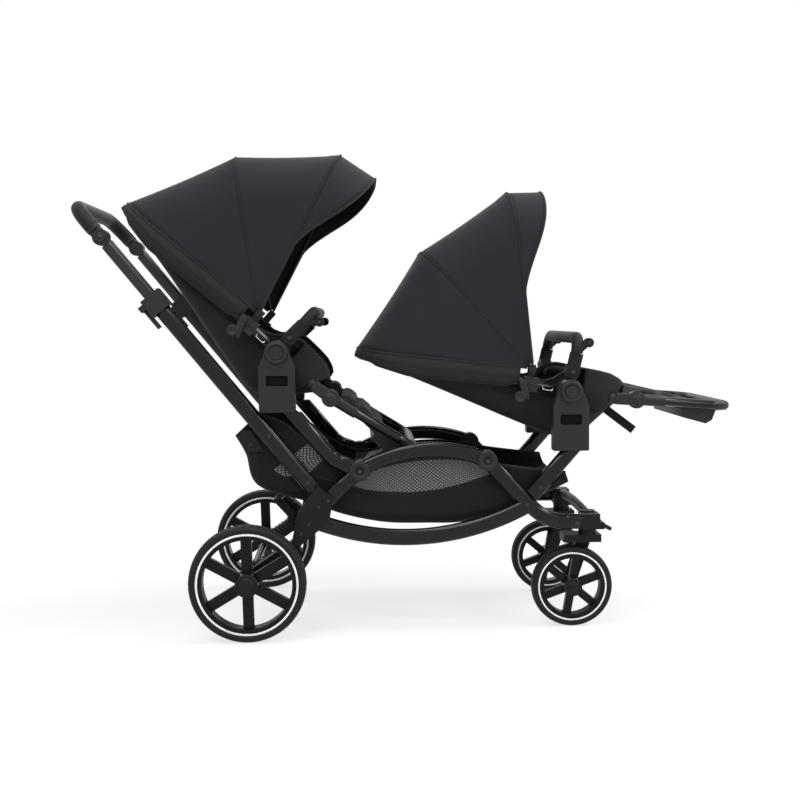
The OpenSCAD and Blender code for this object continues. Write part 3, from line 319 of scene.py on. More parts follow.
# %% From a mesh in hand to a finished piece
def piece(name, bm, material, body=None, smooth=True, replaces=()):
    """Ends a bmesh as an object at the origin, with its place in its mesh."""
    mesh = bpy.data.meshes.new(name)
    bm.to_mesh(mesh)
    bm.free()
    for face in mesh.polygons:
        face.use_smooth = smooth
    for one in material if isinstance(material, (list, tuple)) else [material]:
        mesh.materials.append(one)
    item = bpy.data.objects.new(name, mesh)
    scene.collection.objects.link(item)
    if body:
        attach(item, body)
    if replaces:
        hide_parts(*replaces)
    return item


def modifier(item, kind, **settings):
    made = item.modifiers.new(kind.lower(), kind)
    for key, value in settings.items():
        setattr(made, key, value)
    return made


def spun(outline, centre, steps, closed=True):
    """Spins an outline of (radius, y) points round a wheel axle at centre."""
    bm = bmesh.new()
    ring = [bm.verts.new((centre[0] + r, y, centre[2])) for r, y in outline]
    ends = ring[1:] + ring[:1] if closed else ring[1:]
    edges = [bm.edges.new(pair) for pair in zip(ring, ends)]
    bmesh.ops.spin(bm, geom=ring + edges, cent=centre, axis=(0, 1, 0), dvec=(0, 0, 0),
                   angle=2 * math.pi, steps=steps, use_merge=True)
    bmesh.ops.remove_doubles(bm, verts=bm.verts, dist=0.00001)
    bmesh.ops.recalc_face_normals(bm, faces=bm.faces)
    return bm


# %% [markdown]
# A tyre is one outline spun round the axle: a flat seat inside, full sidewalls and a low
# crown with a groove each side of the middle. Every third face of the shoulders is then
# pressed in, which leaves tread blocks as a mould does.

# %% Wheels
ORIGIN_X = 0.378993
SIDES = (("left", 1), ("right", -1))
wheels = {
    "rear": {"x": 0.0, "y": 0.2725, "r": 0.135, "w": 0.044, "h": 0.017, "hub": 0.052, "hub_r": 0.027},
    "front": {"x": 0.762, "y": 0.1785, "r": 0.0965, "w": 0.036, "h": 0.014, "hub": 0.042, "hub_r": 0.022}}
STEPS = 144


def tyre_outline(r, w, h, y):
    half = [(r - h, 0.43), (r - 0.93 * h, 0.465), (r - 0.7 * h, 0.495), (r - 0.45 * h, 0.488),
            (r - 0.24 * h, 0.44), (r - 0.1 * h, 0.36), (r - 0.045 * h, 0.27), (r - 0.02 * h, 0.15),
            (r - 0.11 * h, 0.135), (r - 0.11 * h, 0.095), (r, 0.08)]
    return [(a, y + b * w) for a, b in half] + [(a, y - b * w) for a, b in reversed(half)]


def tyre(end, side, name):
    k = wheels[end]
    centre = (k["x"] - ORIGIN_X, side * k["y"], k["r"])
    bm = spun(tyre_outline(k["r"], k["w"], k["h"], side * k["y"]), centre, STEPS)
    blocks = []
    for face in bm.faces:
        c = face.calc_center_median()
        out = math.hypot(c.x - centre[0], c.z - centre[2])
        turn = int(round(math.atan2(c.z - centre[2], c.x - centre[0]) / (2 * math.pi) * STEPS - 0.5))
        across = abs(c.y - centre[1]) / k["w"]
        if out > k["r"] - 0.2 * k["h"] and 0.16 < across < 0.33 and (turn + (c.y > centre[1])) % 3 == 0:
            blocks.append(face)
    bmesh.ops.inset_region(bm, faces=blocks, thickness=0.0005, depth=-0.0008, use_even_offset=True)
    item = piece(f"{end}_tyre_{name}_tread", bm, rubber, f"{end}_wheel_{name}",
                 replaces=[f"{end}_tyre_{name}"])
    return len(blocks)


for end in wheels:
    for name, side in SIDES:
        pressed = tyre(end, side, name)
print("tread blocks pressed in each tyre:", pressed)

# %% [markdown]
# A thin pale ring runs round both faces of every wheel where tyre and rim meet, and a stepped
# cap closes each hub. Both are small outlines spun round the axle.

# %% Pale rings and hub caps
def wheel_trim(end, side, name):
    k = wheels[end]
    y = side * k["y"]
    centre = (k["x"] - ORIGIN_X, y, k["r"])
    seat = k["r"] - k["h"] - 0.0003
    wide = 0.0052 if end == "rear" else 0.0042
    for face, depth in (("outer", k["w"] / 2 - 0.0025), ("inner", -(k["w"] / 2 - 0.004))):
        out = math.copysign(1, depth)
        low, top = y + side * depth, y + side * (depth + out * 0.0008)
        edge = 0.0006
        band = [(seat - wide, low), (seat - wide + edge, top), (seat - edge, top), (seat, low)]
        bm = spun(band, centre, 128)
        piece(f"{end}_ring_{name}_{face}", bm, white, f"{end}_wheel_{name}")
    face = y + side * (k["hub"] / 2 + 0.004)
    R = k["hub_r"]
    cap = [(R - 0.001, 0), (R - 0.002, 0.0014), (R - 0.006, 0.002), (R - 0.0068, 0.0008),
           (R - 0.0085, 0.0008), (R - 0.0095, 0.0026), (R * 0.3, 0.0032), (0.00001, 0.0034)]
    bm = spun([(r, face + side * h) for r, h in cap], centre, 64, closed=False)
    piece(f"{end}_cap_{name}", bm, cast, f"{end}_wheel_{name}")


for end in wheels:
    for name, side in SIDES:
        wheel_trim(end, side, name)
print("wheel trim pieces:", 4 * 3)

# %% [markdown]
# The cloth is a plain woven polyester. Its weave follows a map drawn on each sheet in real
# metres, so threads keep their size whichever way the sheet turns. A little sheen lifts the
# edges, as fibres that stand up do.

# %% Cloth finishes
def woven(name, color, pitch, relief, sheen=0.1, mapped=True):
    f = Finish(name, color, 0.85, sheen=sheen, specular=0.08)
    if mapped:
        across, along = f.on_cloth()
    else:
        parts = f.node("ShaderNodeSeparateXYZ", {}, f.place())
        across, along = parts.out("Y"), parts.out("X") + 0.6 * parts.out("Z")
    threads = (across * (2 * math.pi / pitch)).sin() * (along * (2 * math.pi / pitch)).sin()
    cloud, fibre = f.noise(7.0), f.noise(1600.0, detail=1.0)
    mottle = 0.55 * cloud + 0.3 * fibre + 0.1 * threads
    f.feed("Base Color", f.tint(mottle, shade(color, 0.72), shade(color, 1.32)))
    f.feed("Roughness", 0.74 + 0.18 * fibre)
    f.bump(0.5 * threads + 0.8 * fibre, relief, 0.6)
    return f.material


def net(name, color, pale, pitch, open_share):
    """Knitted net: dark slanted strands, and between them a pale painted light for the glints in its openings,
    partly see-through.
    """
    f = Finish(name, color, 0.7, specular=0.3)
    across, along = f.on_cloth()
    one = (((across + along) / pitch).wrap() - 0.5).abs()
    two = (((across - along) / pitch).wrap() - 0.5).abs()
    strand = one.most(two) > open_share / 2
    # the pale colour between the strands is painted light, not the net's own colour
    f.feed("Base Color", f.tint(strand, pale, color))
    f.feed("Alpha", 0.62 + 0.38 * strand)
    f.bump(one.most(two), 0.0006, 0.5)
    return f.material


hood_cloth = woven("hood_cloth", (0.0205, 0.0186, 0.0228), 0.0011, 0.00016)
lining = woven("hood_lining", (0.0085, 0.008, 0.009), 0.0013, 0.00014, sheen=0.04)
seat_cloth = woven("seat_cloth", (0.0175, 0.0165, 0.019), 0.0016, 0.00022)
quilted = woven("liner_cloth", (0.0165, 0.0155, 0.018), 0.0018, 0.00025, mapped=False)
tape = woven("binding_tape", (0.0225, 0.0212, 0.0245), 0.0024, 0.0003)
webbing = woven("webbing", (0.0105, 0.0105, 0.0115), 0.0022, 0.0004, sheen=0.05)
basket_cloth = woven("basket_cloth", (0.0125, 0.012, 0.0135), 0.0015, 0.0002, sheen=0.06)
# the pale grey is painted light between the strands
basket_net = net("basket_net", (0.009, 0.009, 0.0095), (0.26, 0.26, 0.26), 0.0105, 0.66)
print("cloth finishes: 8")

# %% [markdown]
# Each seat is drawn level, with its pivot at zero, and then set at its own tilt. One function
# does that for every piece of both seats.

# %% Seat places
seats = {
    "rear": {"hub": (0.071 - ORIGIN_X, 0.660), "tilt": 41.5, "lift": 9.8},
    "front": {"hub": (0.752 - ORIGIN_X, 0.563), "tilt": 8.0, "lift": 3.2}}


def turned(angle, x, z):
    c, s = math.cos(math.radians(angle)), math.sin(math.radians(angle))
    return x * c + z * s, z * c - x * s


def at_seat(seat, x, y, z):
    k = seats[seat]
    a, b = turned(k["tilt"], x, z)
    return Vector((k["hub"][0] + a, y, k["hub"][1] + b))


def at_leg(seat, x, y, z):
    """A point of the leg rest, counted from its own hinge."""
    a, b = turned(-seats[seat]["lift"], x, z)
    return at_seat(seat, 0.163 + a, y, b)


def sheet(name, across, along, place, size, material, thick=0.0, inner=None):
    """A grid bent by place(u, v), with a map in metres; u and v run from 0 to 1."""
    bm = bmesh.new()
    bmesh.ops.create_grid(bm, x_segments=across, y_segments=along, size=0.5)
    cloth_map = bm.loops.layers.uv.new("map")
    at = {v: (v.co.x + 0.5, v.co.y + 0.5) for v in bm.verts}
    for face in bm.faces:
        for loop in face.loops:
            u, w = at[loop.vert]
            loop[cloth_map].uv = (u * size[0], w * size[1])
    for vert, (u, w) in at.items():
        vert.co = place(u, w)
    area = sum(face.calc_area() for face in bm.faces)
    item = piece(name, bm, material if inner is None else [material, inner])
    if thick:
        modifier(item, "SOLIDIFY", thickness=thick, offset=0.0, material_offset=0 if inner is None else 1)
    return item, area


print("seats:", list(seats))

# %% [markdown]
# A canopy is cloth stretched over two thin hoops that turn on the seat's sides. From the back
# frame to the middle hoop, on to the front hoop, and over the visor it is one skin, sewn at
# the hoops. Each gore is a grid bent round the hoop's outline while its angle runs from one
# hoop to the next, and it dips a little in between, as taut cloth does. The visor is widest
# on top and runs out half way down the front hoop.

# %% Canopy cloth
PIVOT = (-0.090, 0.041)
LOW, BEND = 0.013, 0.120
WALL = 0.0012
PEAK = 0.40
hoops = {
    "back": (181.5, 0.1876, 0.413), "mid": (140.5, 0.1876, 0.3776),
    "front": (104.5, 0.1946, 0.4206),
    "rear_edge": (91.0, 0.1946, 0.4206), "front_edge": (93.6, 0.1946, 0.4206)}


def round_hoop(t, half, reach):
    """A point (y, reach) of a hoop's outline: up one side, over two round corners, down."""
    side, corner, top = reach - BEND - LOW, BEND * math.pi / 2, 2 * (half - BEND)
    whole = 2 * side + 2 * corner + top
    far = min(t, 1 - t) * whole
    hand = 1 if t <= 0.5 else -1
    if far < side:
        return hand * half, LOW + far
    if far < side + corner:
        a = (far - side) / BEND
        return hand * (half - BEND + BEND * math.cos(a)), reach - BEND + BEND * math.sin(a)
    return hand * (half - BEND - (far - side - corner)), reach


def hoop_length(half, reach):
    return 2 * (reach - BEND - LOW) + BEND * math.pi + 2 * (half - BEND)


def hoop_point(hoop, t, grow, angle=None):
    """A point of one hoop, seen from the canopy's pivot."""
    turn, half, reach = hoops[hoop]
    y, r = round_hoop(t, half + WALL + grow / 2, reach + WALL + grow)
    if angle is not None:
        up = r / (reach + WALL + grow)
        wide = max(math.sin(math.pi / 2 * max(up - PEAK, 0) / (1 - PEAK)) ** 1.5, 0.05 * up)
        turn = angle + (turn - angle) * wide / up
    a = math.radians(turn)
    return Vector((PIVOT[0] + r * math.cos(a), y, PIVOT[1] + r * math.sin(a)))


def on_hood(seat, t, s, start, end, dip, proud=0.0):
    """Straight from hoop to hoop, less a small dip and a casing sewn up at the front hoop."""
    grow = proud - dip * math.sin(math.pi * s) + (0.0012 if end == "front" and s > 0.91 else 0)
    from_angle = hoops[start][0] if end.endswith("edge") else None
    p = hoop_point(start, t, grow).lerp(hoop_point(end, t, grow, from_angle), s)
    return at_seat(seat, *p)


def gore(seat, name, start, end, rows, dip):
    span = on_hood(seat, 0.5, 0, start, end, 0) - on_hood(seat, 0.5, 1, start, end, 0)
    size = (hoop_length(*hoops[start][1:]), span.length)
    item, area = sheet(f"{seat}_{name}_cloth", 64, rows, lambda u, v: on_hood(seat, u, v, start, end, dip),
                       size, hood_cloth, 0.0018, lining)
    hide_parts(f"{seat}_{name}")
    return item


SKIRT_CUT = (1.07, 0.056)
skirt_line = [(0.0, 0.0), (0.011, 0.0020), (0.020, 0.0042), (0.022, 0.0034), (0.030, 0.0048), (0.040, 0.0040),
              (0.048, 0.0)]


def on_skirt(seat, u, v):
    """The hem below the back gore, over the seat's rail and turned in under its top onto the sling."""
    low, out = skirt_line[round(v * 6)]
    p = hoop_point("back", 0.014 + 0.972 * u, out)
    end = min(1.0, 0.35 + 26 * min(u, 1 - u))
    back = 1 - 0.42 * min(max((-0.38 - p.x) / 0.10, 0.0), 1.0)
    if v > 0.34:
        low = 0.020 + (low - 0.020) * end
    fold = max(0.0, 3 * v - 2) * max(0.0, 1 - (p.y / 0.165) ** 4)
    return at_seat(seat, p.x + 0.036 * fold, p.y + math.copysign(out / 2, p.y),
                   p.z - low * back + 0.005 * fold ** 3)


for seat in seats:
    back = gore(seat, "hood_back", "back", "mid", 14, 0.003)
    on_hood(seat, 0.5, 0, "back", "mid", 0)
    on_hood(seat, 0.5, 1, "back", "mid", 0)
    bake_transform(back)
    front = gore(seat, "hood_front", "mid", "front", 24, 0.003)
    on_hood(seat, 0.5, 0, "mid", "front", 0)
    on_hood(seat, 0.5, 1, "mid", "front", 0)
    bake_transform(front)
    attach(gore(seat, "visor", "front", seat + "_edge", 6, 0.0), f"{seat}_rib_front")
    skirt, area = sheet(f"{seat}_hood_skirt", 96, 6, lambda u, v: on_skirt(seat, u, v), SKIRT_CUT, tape, 0.0018)
    skirt.data.materials.append(seat_cloth)
    for face in skirt.data.polygons:
        spots = [skirt.data.uv_layers[0].data[i].uv.y for i in face.loop_indices]
        face.material_index = 1 if sum(spots) / len(spots) > 0.026 else 0
    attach(skirt, f"{seat}_seat")
print("canopies:", len(seats))

# %% [markdown]
# The seams over the hoops are piped, and the outer edges are bound with tape. Both follow the
# same hoop outline, as a round cord drawn along a curve.

# %% Piping and binding
def cord_along(name, points, radius, material, body):
    curve = bpy.data.curves.new(name, "CURVE")
    curve.dimensions = "3D"
    line = curve.splines.new("POLY")
    line.points.add(len(points) - 1)
    for spot, place in zip(line.points, points):
        spot.co = (*place, 1)
    curve.bevel_depth = radius
    curve.bevel_resolution = 3
    curve.use_fill_caps = True
    drawn = bpy.data.objects.new(name, curve)
    scene.collection.objects.link(drawn)
    bpy.context.view_layer.update()
    mesh = bpy.data.meshes.new_from_object(drawn.evaluated_get(bpy.context.evaluated_depsgraph_get()))
    bpy.data.objects.remove(drawn)
    for face in mesh.polygons:
        face.use_smooth = True
    mesh.materials.clear()
    mesh.materials.append(material)
    item = bpy.data.objects.new(name, mesh)
    scene.collection.objects.link(item)
    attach(item, body)
    return item


for seat in seats:
    for name, start, end, s, radius, material, body in (
            ("edge_back", "back", "mid", 0.0, 0.0026, tape, f"{seat}_seat"),
            ("seam_mid", "back", "mid", 1.0, 0.0018, hood_cloth, f"{seat}_rib_mid"),
            ("seam_front", "mid", "front", 1.0, 0.0020, hood_cloth, f"{seat}_rib_front"),
            ("edge_visor", "front", seat + "_edge", 1.0, 0.0030, tape, f"{seat}_rib_front")):
        run = [on_hood(seat, k / 96, s, start, end, 0, 0.0006) for k in range(97)]
        cord_along(f"{seat}_{name}", run, radius, material, body)
print("piping and binding: 8")

# %% [markdown]
# The seat is a cloth sling hung from its rails: a long back, a short pan and sides that come
# up to the tubes. One grid makes it. Along its length it follows the side view of the sling,
# and across it follows a trough with round corners, narrowing where the back hoop bends in.
# Beside the pan the sides stand up above the rails, and a flap of the same cloth covers them.

# %% Seat slings
side_view = [(-0.478, 0.012), (-0.36, -0.019), (-0.24, -0.052), (-0.13, -0.083), (-0.05, -0.104),
             (-0.012, -0.1125), (0.028, -0.1095), (0.058, -0.094), (0.090, -0.058), (0.116, -0.028),
             (0.135, -0.009)]


def smooth_line(points, t):
    """A point of the smooth line through some points; t runs from 0 to 1."""
    at = min(max(t, 0.0), 1.0) * (len(points) - 1)
    i = min(int(at), len(points) - 2)
    f = at - i
    a, b, c, d = (Vector(points[min(max(k, 0), len(points) - 1)]) for k in (i - 1, i, i + 1, i + 2))
    return 0.5 * ((2 * b) + (c - a) * f + (2 * a - 5 * b + 4 * c - d) * f * f
                  + (3 * b - a - 3 * c + d) * f ** 3)


def trough(t, half, depth, bend):
    """A point (y, height) of a trough's section, from the left rim round to the right one."""
    bend = min(bend, depth * 0.98, half)
    side, corner, floor_run = depth - bend, bend * math.pi / 2, 2 * (half - bend)
    whole = 2 * side + 2 * corner + floor_run
    far, hand = min(t, 1 - t) * whole, 1 if t <= 0.5 else -1
    if far < side:
        return hand * half, depth - far
    if far < side + corner:
        a = (far - side) / bend
        return hand * (half - bend + bend * math.cos(a)), bend - bend * math.sin(a)
    return hand * (half - bend - (far - side - corner)), 0.0


def sling_half(x):
    past = max(0.0, -x - 0.389)
    return 0.075 + math.sqrt(max(0.0002, 0.0925 ** 2 - past * past))


rim_line = [(-0.50, 0.0225), (-0.060, 0.0125), (-0.038, 0.020), (-0.012, 0.041), (0.004, 0.0505),
            (0.025, 0.055), (0.070, 0.0525), (0.098, 0.0490), (0.120, 0.0400), (0.137, 0.0250)]


def along_line(line, x):
    """The height of a line of straight pieces at x."""
    for (x0, z0), (x1, z1) in zip(line, line[1:]):
        if x <= x1:
            return z0 + (z1 - z0) * (x - x0) / (x1 - x0)
    return line[-1][1]


def rim_height(x):
    return along_line(rim_line, x)


def on_sling(seat, u, v):
    x, low = smooth_line(side_view, v)
    high = rim_height(x)
    y, up = trough(u, sling_half(x), max(high - low, 0.006), 0.05)
    wrinkle = 0.0022 * math.sin(38 * x + 6 * v) * math.sin(math.pi * min(1, up / max(high - low, 0.01)))
    return at_seat(seat, x, y - math.copysign(abs(wrinkle), y) if up > 0.004 else y, low + up)


SLING_CUT, FLAP_CUT = (0.53, 0.68), (0.105, 0.092)
for seat in seats:
    sling, area = sheet(f"{seat}_sling", 56, 48, lambda u, v: on_sling(seat, u, v), (0.50, 0.66),
                        seat_cloth, 0.0032)
    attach(sling, f"{seat}_seat")
    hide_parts(f"{seat}_seat_shell")
    for name, hand in SIDES:
        rim = [on_sling(seat, 0.0 if hand > 0 else 1.0, 0.03 + 0.95 * k / 48) for k in range(49)]
        cord_along(f"{seat}_sling_tape_{name}", rim, 0.0042, tape, f"{seat}_seat")

        def on_flap(u, v):
            """From the top of the side, over the rail and down its outer face."""
            x = 0.034 + (0.096 - 0.062 * max(0.0, u - 0.30) ** 1.2) * v
            top = rim_height(x)
            section = [(0.1700, top - 0.004), (0.1745, top + 0.002), (0.1805, top - 0.002), (0.1880, 0.026),
                       (0.1925, 0.010), (0.1932, -0.004), (0.1900, -0.018), (0.1800, -0.034)]
            y, z = smooth_line(section, u)
            fold = 0.0016 * math.sin(9 * v + 4 * u) * math.sin(math.pi * u)
            return at_seat(seat, x, hand * (y + fold), z)

        flap, flap_area = sheet(f"{seat}_flap_{name}", 28, 16, on_flap, FLAP_CUT, seat_cloth, 0.0022)
        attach(flap, f"{seat}_seat")
print("seat slings:", len(seats), "area", round(area, 3), "m2")

# %% [markdown]
# The liner is stuffed: foam between two cloths, sewn through in channels. Each pad starts as a
# block a little smaller than the finished one, is remeshed fine, and is blown up gently with
# cloth simulation, which rounds the faces and draws in the sides. The channels are pressed
# in afterwards, because the fine mesh can only hold them then.

# %% Stuffed pads
def round_off(bm, edges, width, segments):
    bmesh.ops.bevel(bm, geom=edges, offset=width, offset_type="OFFSET", segments=segments, profile=0.5,
                    affect="EDGES", material=-1)


def swell(item, cap):
    """Blows the mesh up like a cushion and keeps every point within cap of its start."""
    start = [v.co.copy() for v in item.data.vertices]
    cloth = item.modifiers.new("swell", "CLOTH")
    cloth.settings.use_pressure = True
    cloth.settings.uniform_pressure_force = 4.0
    cloth.settings.effector_weights.gravity = 0.0
    cloth.point_cache.frame_start, cloth.point_cache.frame_end = 1, 20
    for number in range(1, 21):
        scene.frame_set(number)
    moved = item.evaluated_get(bpy.context.evaluated_depsgraph_get()).data
    ends = [v.co.copy() for v in moved.vertices]
    item.modifiers.remove(cloth)
    scene.frame_set(1)
    for vert, a, b in zip(item.data.vertices, start, ends):
        step = b - a
        vert.co = a + step * min(1.0, cap / max(step.length, 1e-9))


def stuffed(length, width, thick, channels, waist=0.03):
    """A sewn pad lying flat on z = 0, with its length along x from 0."""
    bm = bmesh.new()
    bmesh.ops.create_cube(bm, size=1.0)
    bmesh.ops.scale(bm, vec=(length, width, thick * 0.6), verts=bm.verts)
    bmesh.ops.translate(bm, vec=(length / 2, 0, thick * 0.34), verts=bm.verts)
    upright = [e for e in bm.edges if abs(e.verts[0].co.z - e.verts[1].co.z) > 0.001]
    round_off(bm, upright, 0.028, 5)
    rim = [e for e in bm.edges if abs(e.verts[0].co.z - e.verts[1].co.z) < 0.001
           and len(e.link_faces) == 2 and e.calc_face_angle(0) > 0.7]
    round_off(bm, rim, thick * 0.24, 3)
    item = piece("pad", bm, quilted)
    remesh = modifier(item, "REMESH", mode="VOXEL", voxel_size=0.0052)
    fine = bpy.data.meshes.new_from_object(item.evaluated_get(bpy.context.evaluated_depsgraph_get()))
    item.modifiers.remove(remesh)
    item.data = fine
    swell(item, 0.006)
    for vert in fine.vertices:
        u = vert.co.x / length
        vert.co.y *= 1 - waist * math.sin(math.pi * min(max(u, 0), 1))
        press = sum(math.exp(-((vert.co.x - c * length) / 0.0055) ** 2) for c in channels)
        if vert.co.z > thick * 0.35:
            vert.co.z -= min(press, 1.0) * thick * 0.3 * (1 - (2 * vert.co.y / width) ** 8)
        vert.co.z = min(max(vert.co.z, 0.0002), thick * 1.02)
    fine.materials.clear()
    fine.materials.append(quilted)
    bpy.data.objects.remove(item)
    return fine


def lay_pad(name, mesh, place, body, node):
    copy = mesh.copy()
    for vert in copy.vertices:
        vert.co = place(*vert.co)
    for face in copy.polygons:
        face.use_smooth = True
    item = bpy.data.objects.new(name, copy)
    scene.collection.objects.link(item)
    bm = bmesh.new()
    bm.from_mesh(copy)
    bmesh.ops.recalc_face_normals(bm, faces=bm.faces)
    bm.to_mesh(copy)
    bm.free()
    modifier(item, "SUBSURF", levels=1, render_levels=1)
    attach(item, body)
    if node:
        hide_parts(node)
    return item


corner_low, corner_back = (-0.0202, -0.115), (-0.47975, 0.0115)
corner_pan, corner_front = (0.0505, -0.1058), (0.13635, -0.00805)
INSET = 0.022


def on_line(seat, a, b, x, y, z):
    """A point over the sling between two corners of its side view: along, across and up."""
    way = Vector((b[0] - a[0], b[1] - a[1])).normalized()
    square = Vector((-way.y, way.x))
    if square.y < 0:
        square = -square
    lift = 0.006 * abs(way.x) + 0.0003
    spot = Vector(a) + way * (INSET + x) + square * (lift + z)
    return at_seat(seat, spot.x, y, spot.y)


back_pad = stuffed(0.4167, 0.309, 0.022, (0.25, 0.5, 0.75))
pan_pad = stuffed(0.0972, 0.309, 0.022, (0.5,))
shin_pad = stuffed(0.1333, 0.330, 0.046, (0.35, 0.7), waist=0.02)
side_pad = stuffed(0.138, 0.030, 0.030, (), waist=0.0)
for seat in seats:
    lay_pad(f"{seat}_back_pad", back_pad, lambda x, y, z: on_line(seat, corner_low, corner_back, x, y, z),
            f"{seat}_seat", f"{seat}_seat_pad")
    lay_pad(f"{seat}_pan_pad", pan_pad, lambda x, y, z: on_line(seat, corner_pan, corner_front, x, y, z),
            f"{seat}_seat", None)
    lay_pad(f"{seat}_shin_pad", shin_pad,
            lambda x, y, z: at_leg(seat, 0.0186 + x, y, z * (1 - 4.5 * x) - 0.0055),
            f"{seat}_leg_rest", f"{seat}_leg_pad")
    for name, hand in SIDES:
        lay_pad(f"{seat}_side_pad_{name}", side_pad,
                lambda x, y, z: at_seat(seat, x - 0.006, hand * 0.1570 + y,
                                        rim_height(x - 0.006) - 0.027 + z),
                f"{seat}_seat", None)
print("pads: 10, faces in the back pad:", len(back_pad.polygons))

# %% [markdown]
# The harness lies on the back pad: two shoulder straps with soft sleeves, a lap strap and a
# buckle in the middle. Webbing is flat, so each strap is a narrow thickened grid.

# %% Harness
def strap(name, body, place, length, width, material=None, thick=0.0022):
    item = sheet(name, 4, 24, lambda u, v: place(v * length, (u - 0.5) * width), (width, length),
                 material or webbing, thick)[0]
    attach(item, body)
    return item


def block(name, size, place, material, body, edge=0.003):
    """A moulded block with rounded edges, bent into place."""
    bm = bmesh.new()
    bmesh.ops.create_cube(bm, size=1.0)
    bmesh.ops.scale(bm, vec=size, verts=bm.verts)
    round_off(bm, bm.edges[:], edge, 3)
    for vert in bm.verts:
        vert.co = place(*vert.co)
    bmesh.ops.recalc_face_normals(bm, faces=bm.faces)
    return piece(name, bm, material, body, smooth=False)


SLEEVE = 0.14
for seat in seats:
    body = f"{seat}_seat"

    def on_back(x, y, z):
        return on_line(seat, corner_low, corner_back, x, y, z)

    buckle = block(f"{seat}_buckle", (0.052, 0.052, 0.012),
                   lambda x, y, z: on_back(0.052 + x, y, 0.0285 + z), moulded, body, 0.004)
    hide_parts(f"{seat}_harness")
    for name, hand in SIDES:
        def on_sleeve(s, w):
            bulge = 0.004 * math.sin(math.pi * min(max(s / SLEEVE, 0), 1)) ** 0.5
            return on_back(0.145 + s, hand * 0.055 + w, 0.0252 + bulge)

        strap(f"{seat}_shoulder_{name}", body,
              lambda s, w: on_back(0.055 + s, hand * 0.055 + w, 0.0236), 0.265, 0.030)
        strap(f"{seat}_sleeve_{name}", body, on_sleeve, SLEEVE, 0.046, seat_cloth, 0.005)
    strap(f"{seat}_lap", body, lambda s, w: on_back(0.052 + w, s - 0.055, 0.0236), 0.11, 0.028)
print("harness pieces:", 6 * len(seats))

# %% [markdown]
# The basket is a long cloth tub slung between the side frames. Its lower edge follows the bow
# and its upper edge dips in the middle. Net windows let the load be seen: one line of the grid
# is pulled onto the lower edge of the windows, so that the net starts on a clean curve.

# %% Basket
BX, BZ, BL, BH = -0.042 - ORIGIN_X, 0.249, 0.807, 0.270
low_edge = [(0.012, 0.80), (0.042, 0.637), (0.076, 0.36), (0.226, 0.205), (0.33, 0.092), (0.449, 0.020),
            (0.569, 0.008), (0.673, 0.012), (0.777, 0.082), (0.893, 0.212), (0.985, 0.362)]
high_edge = [(0.078, 0.985), (0.15, 0.925), (0.222, 0.75), (0.29, 0.60), (0.345, 0.52), (0.40, 0.50),
             (0.498, 0.56), (0.60, 0.59), (0.70, 0.57), (0.80, 0.515), (0.90, 0.475), (0.975, 0.45)]
net_edge = [(-0.1, 0.9), (0.076, 0.9), (0.088, 0.388), (0.106, 0.368), (0.146, 0.372), (0.158, 0.9),
            (0.222, 0.9), (0.240, 0.345), (0.271, 0.335), (0.306, 0.330), (0.379, 0.327), (0.447, 0.333), (0.495, 0.344),
            (0.542, 0.360), (0.573, 0.369), (0.592, 0.9), (0.9, 0.9)]
TUB, CORNER, BASKET_CUT = 0.1962, 0.035, (0.78, 0.95)
ACROSS, ALONG, SIDE, BORDER = 100, 90, 26, 13


def basket_column(v):
    """The lower edge point, the way up to the rim, and the share of it where the net starts."""
    low, high = smooth_line(low_edge, v), smooth_line(high_edge, v)
    foot = Vector((BX + low.x * BL, BZ + low.y * BH))
    rise = Vector(((high.x - low.x) * BL, (high.y - low.y) * BH))
    x = foot.x + rise.x * 0.6 + ORIGIN_X
    net = (along_line(net_edge, x) - foot.y) / max(rise.y, 0.01)
    return foot, rise, min(max(net, 0.35), 0.985)


def on_basket(u, v):
    foot, rise, net = basket_column(v)
    depth = max(rise.length, 0.012)
    round_r = min(CORNER, 0.6 * depth)
    k, hand = (u if u <= 0.5 else 1 - u) * ACROSS, 1 if u <= 0.5 else -1
    if k <= SIDE:
        share = 1 - (1 - net) * k / BORDER if k <= BORDER else \
            round_r / depth + (net - round_r / depth) * (SIDE - k) / (SIDE - BORDER)
        y = TUB - 0.004 * math.sin(math.pi * share)
    elif k <= SIDE + 8:
        a = (k - SIDE) / 8 * math.pi / 2
        share = round_r / depth * (1 - math.sin(a))
        y = TUB - round_r * (1 - math.cos(a))
    else:
        way = (k - SIDE - 8) / (ACROSS / 2 - SIDE - 8)
        share, y = 0.0, (TUB - round_r) * (1 - way)
    sag = 0.004 * math.cos(math.pi * y / (2 * TUB)) if share == 0 else 0.0
    return Vector((foot.x + rise.x * share, hand * y, foot.y + rise.y * share - sag))


tub, area = sheet("basket_tub", ACROSS, ALONG, on_basket, BASKET_CUT, basket_cloth, 0.0024)
tub.data.materials.append(basket_net)
window = 0
for face in tub.data.polygons:
    spots = [tub.data.uv_layers[0].data[i].uv for i in face.loop_indices]
    k = sum(p.x for p in spots) / len(spots) / BASKET_CUT[0] * ACROSS
    v = sum(p.y for p in spots) / len(spots) / BASKET_CUT[1]
    if min(k, ACROSS - k) < BORDER and basket_column(v)[2] < 0.97:
        face.material_index = 1
        window += 1
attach(tub, "chassis")
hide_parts("basket")
for name, u in (("left", 0.0), ("right", 1.0)):
    hem = [on_basket(u, k / 96) for k in range(97)]
    cord_along(f"basket_hem_{name}", hem, 0.0034, tape, "chassis")
    edge = abs(u - BORDER / ACROSS)
    seam = [on_basket(edge, k / 240) for k in range(241)
            if 0.25 < k / 240 < 0.9 and basket_column(k / 240)[2] < 0.97]
    cord_along(f"basket_seam_{name}", seam, 0.0019, tape, "chassis")
print("basket area", round(area, 3), "m2, net faces", window)

# %% [markdown]
# Fastenings tell the eye how large a thing is. Each screw is a small disc, raised, with its
# edge rounded and a six-sided socket pressed into it. All those on one body are one piece.

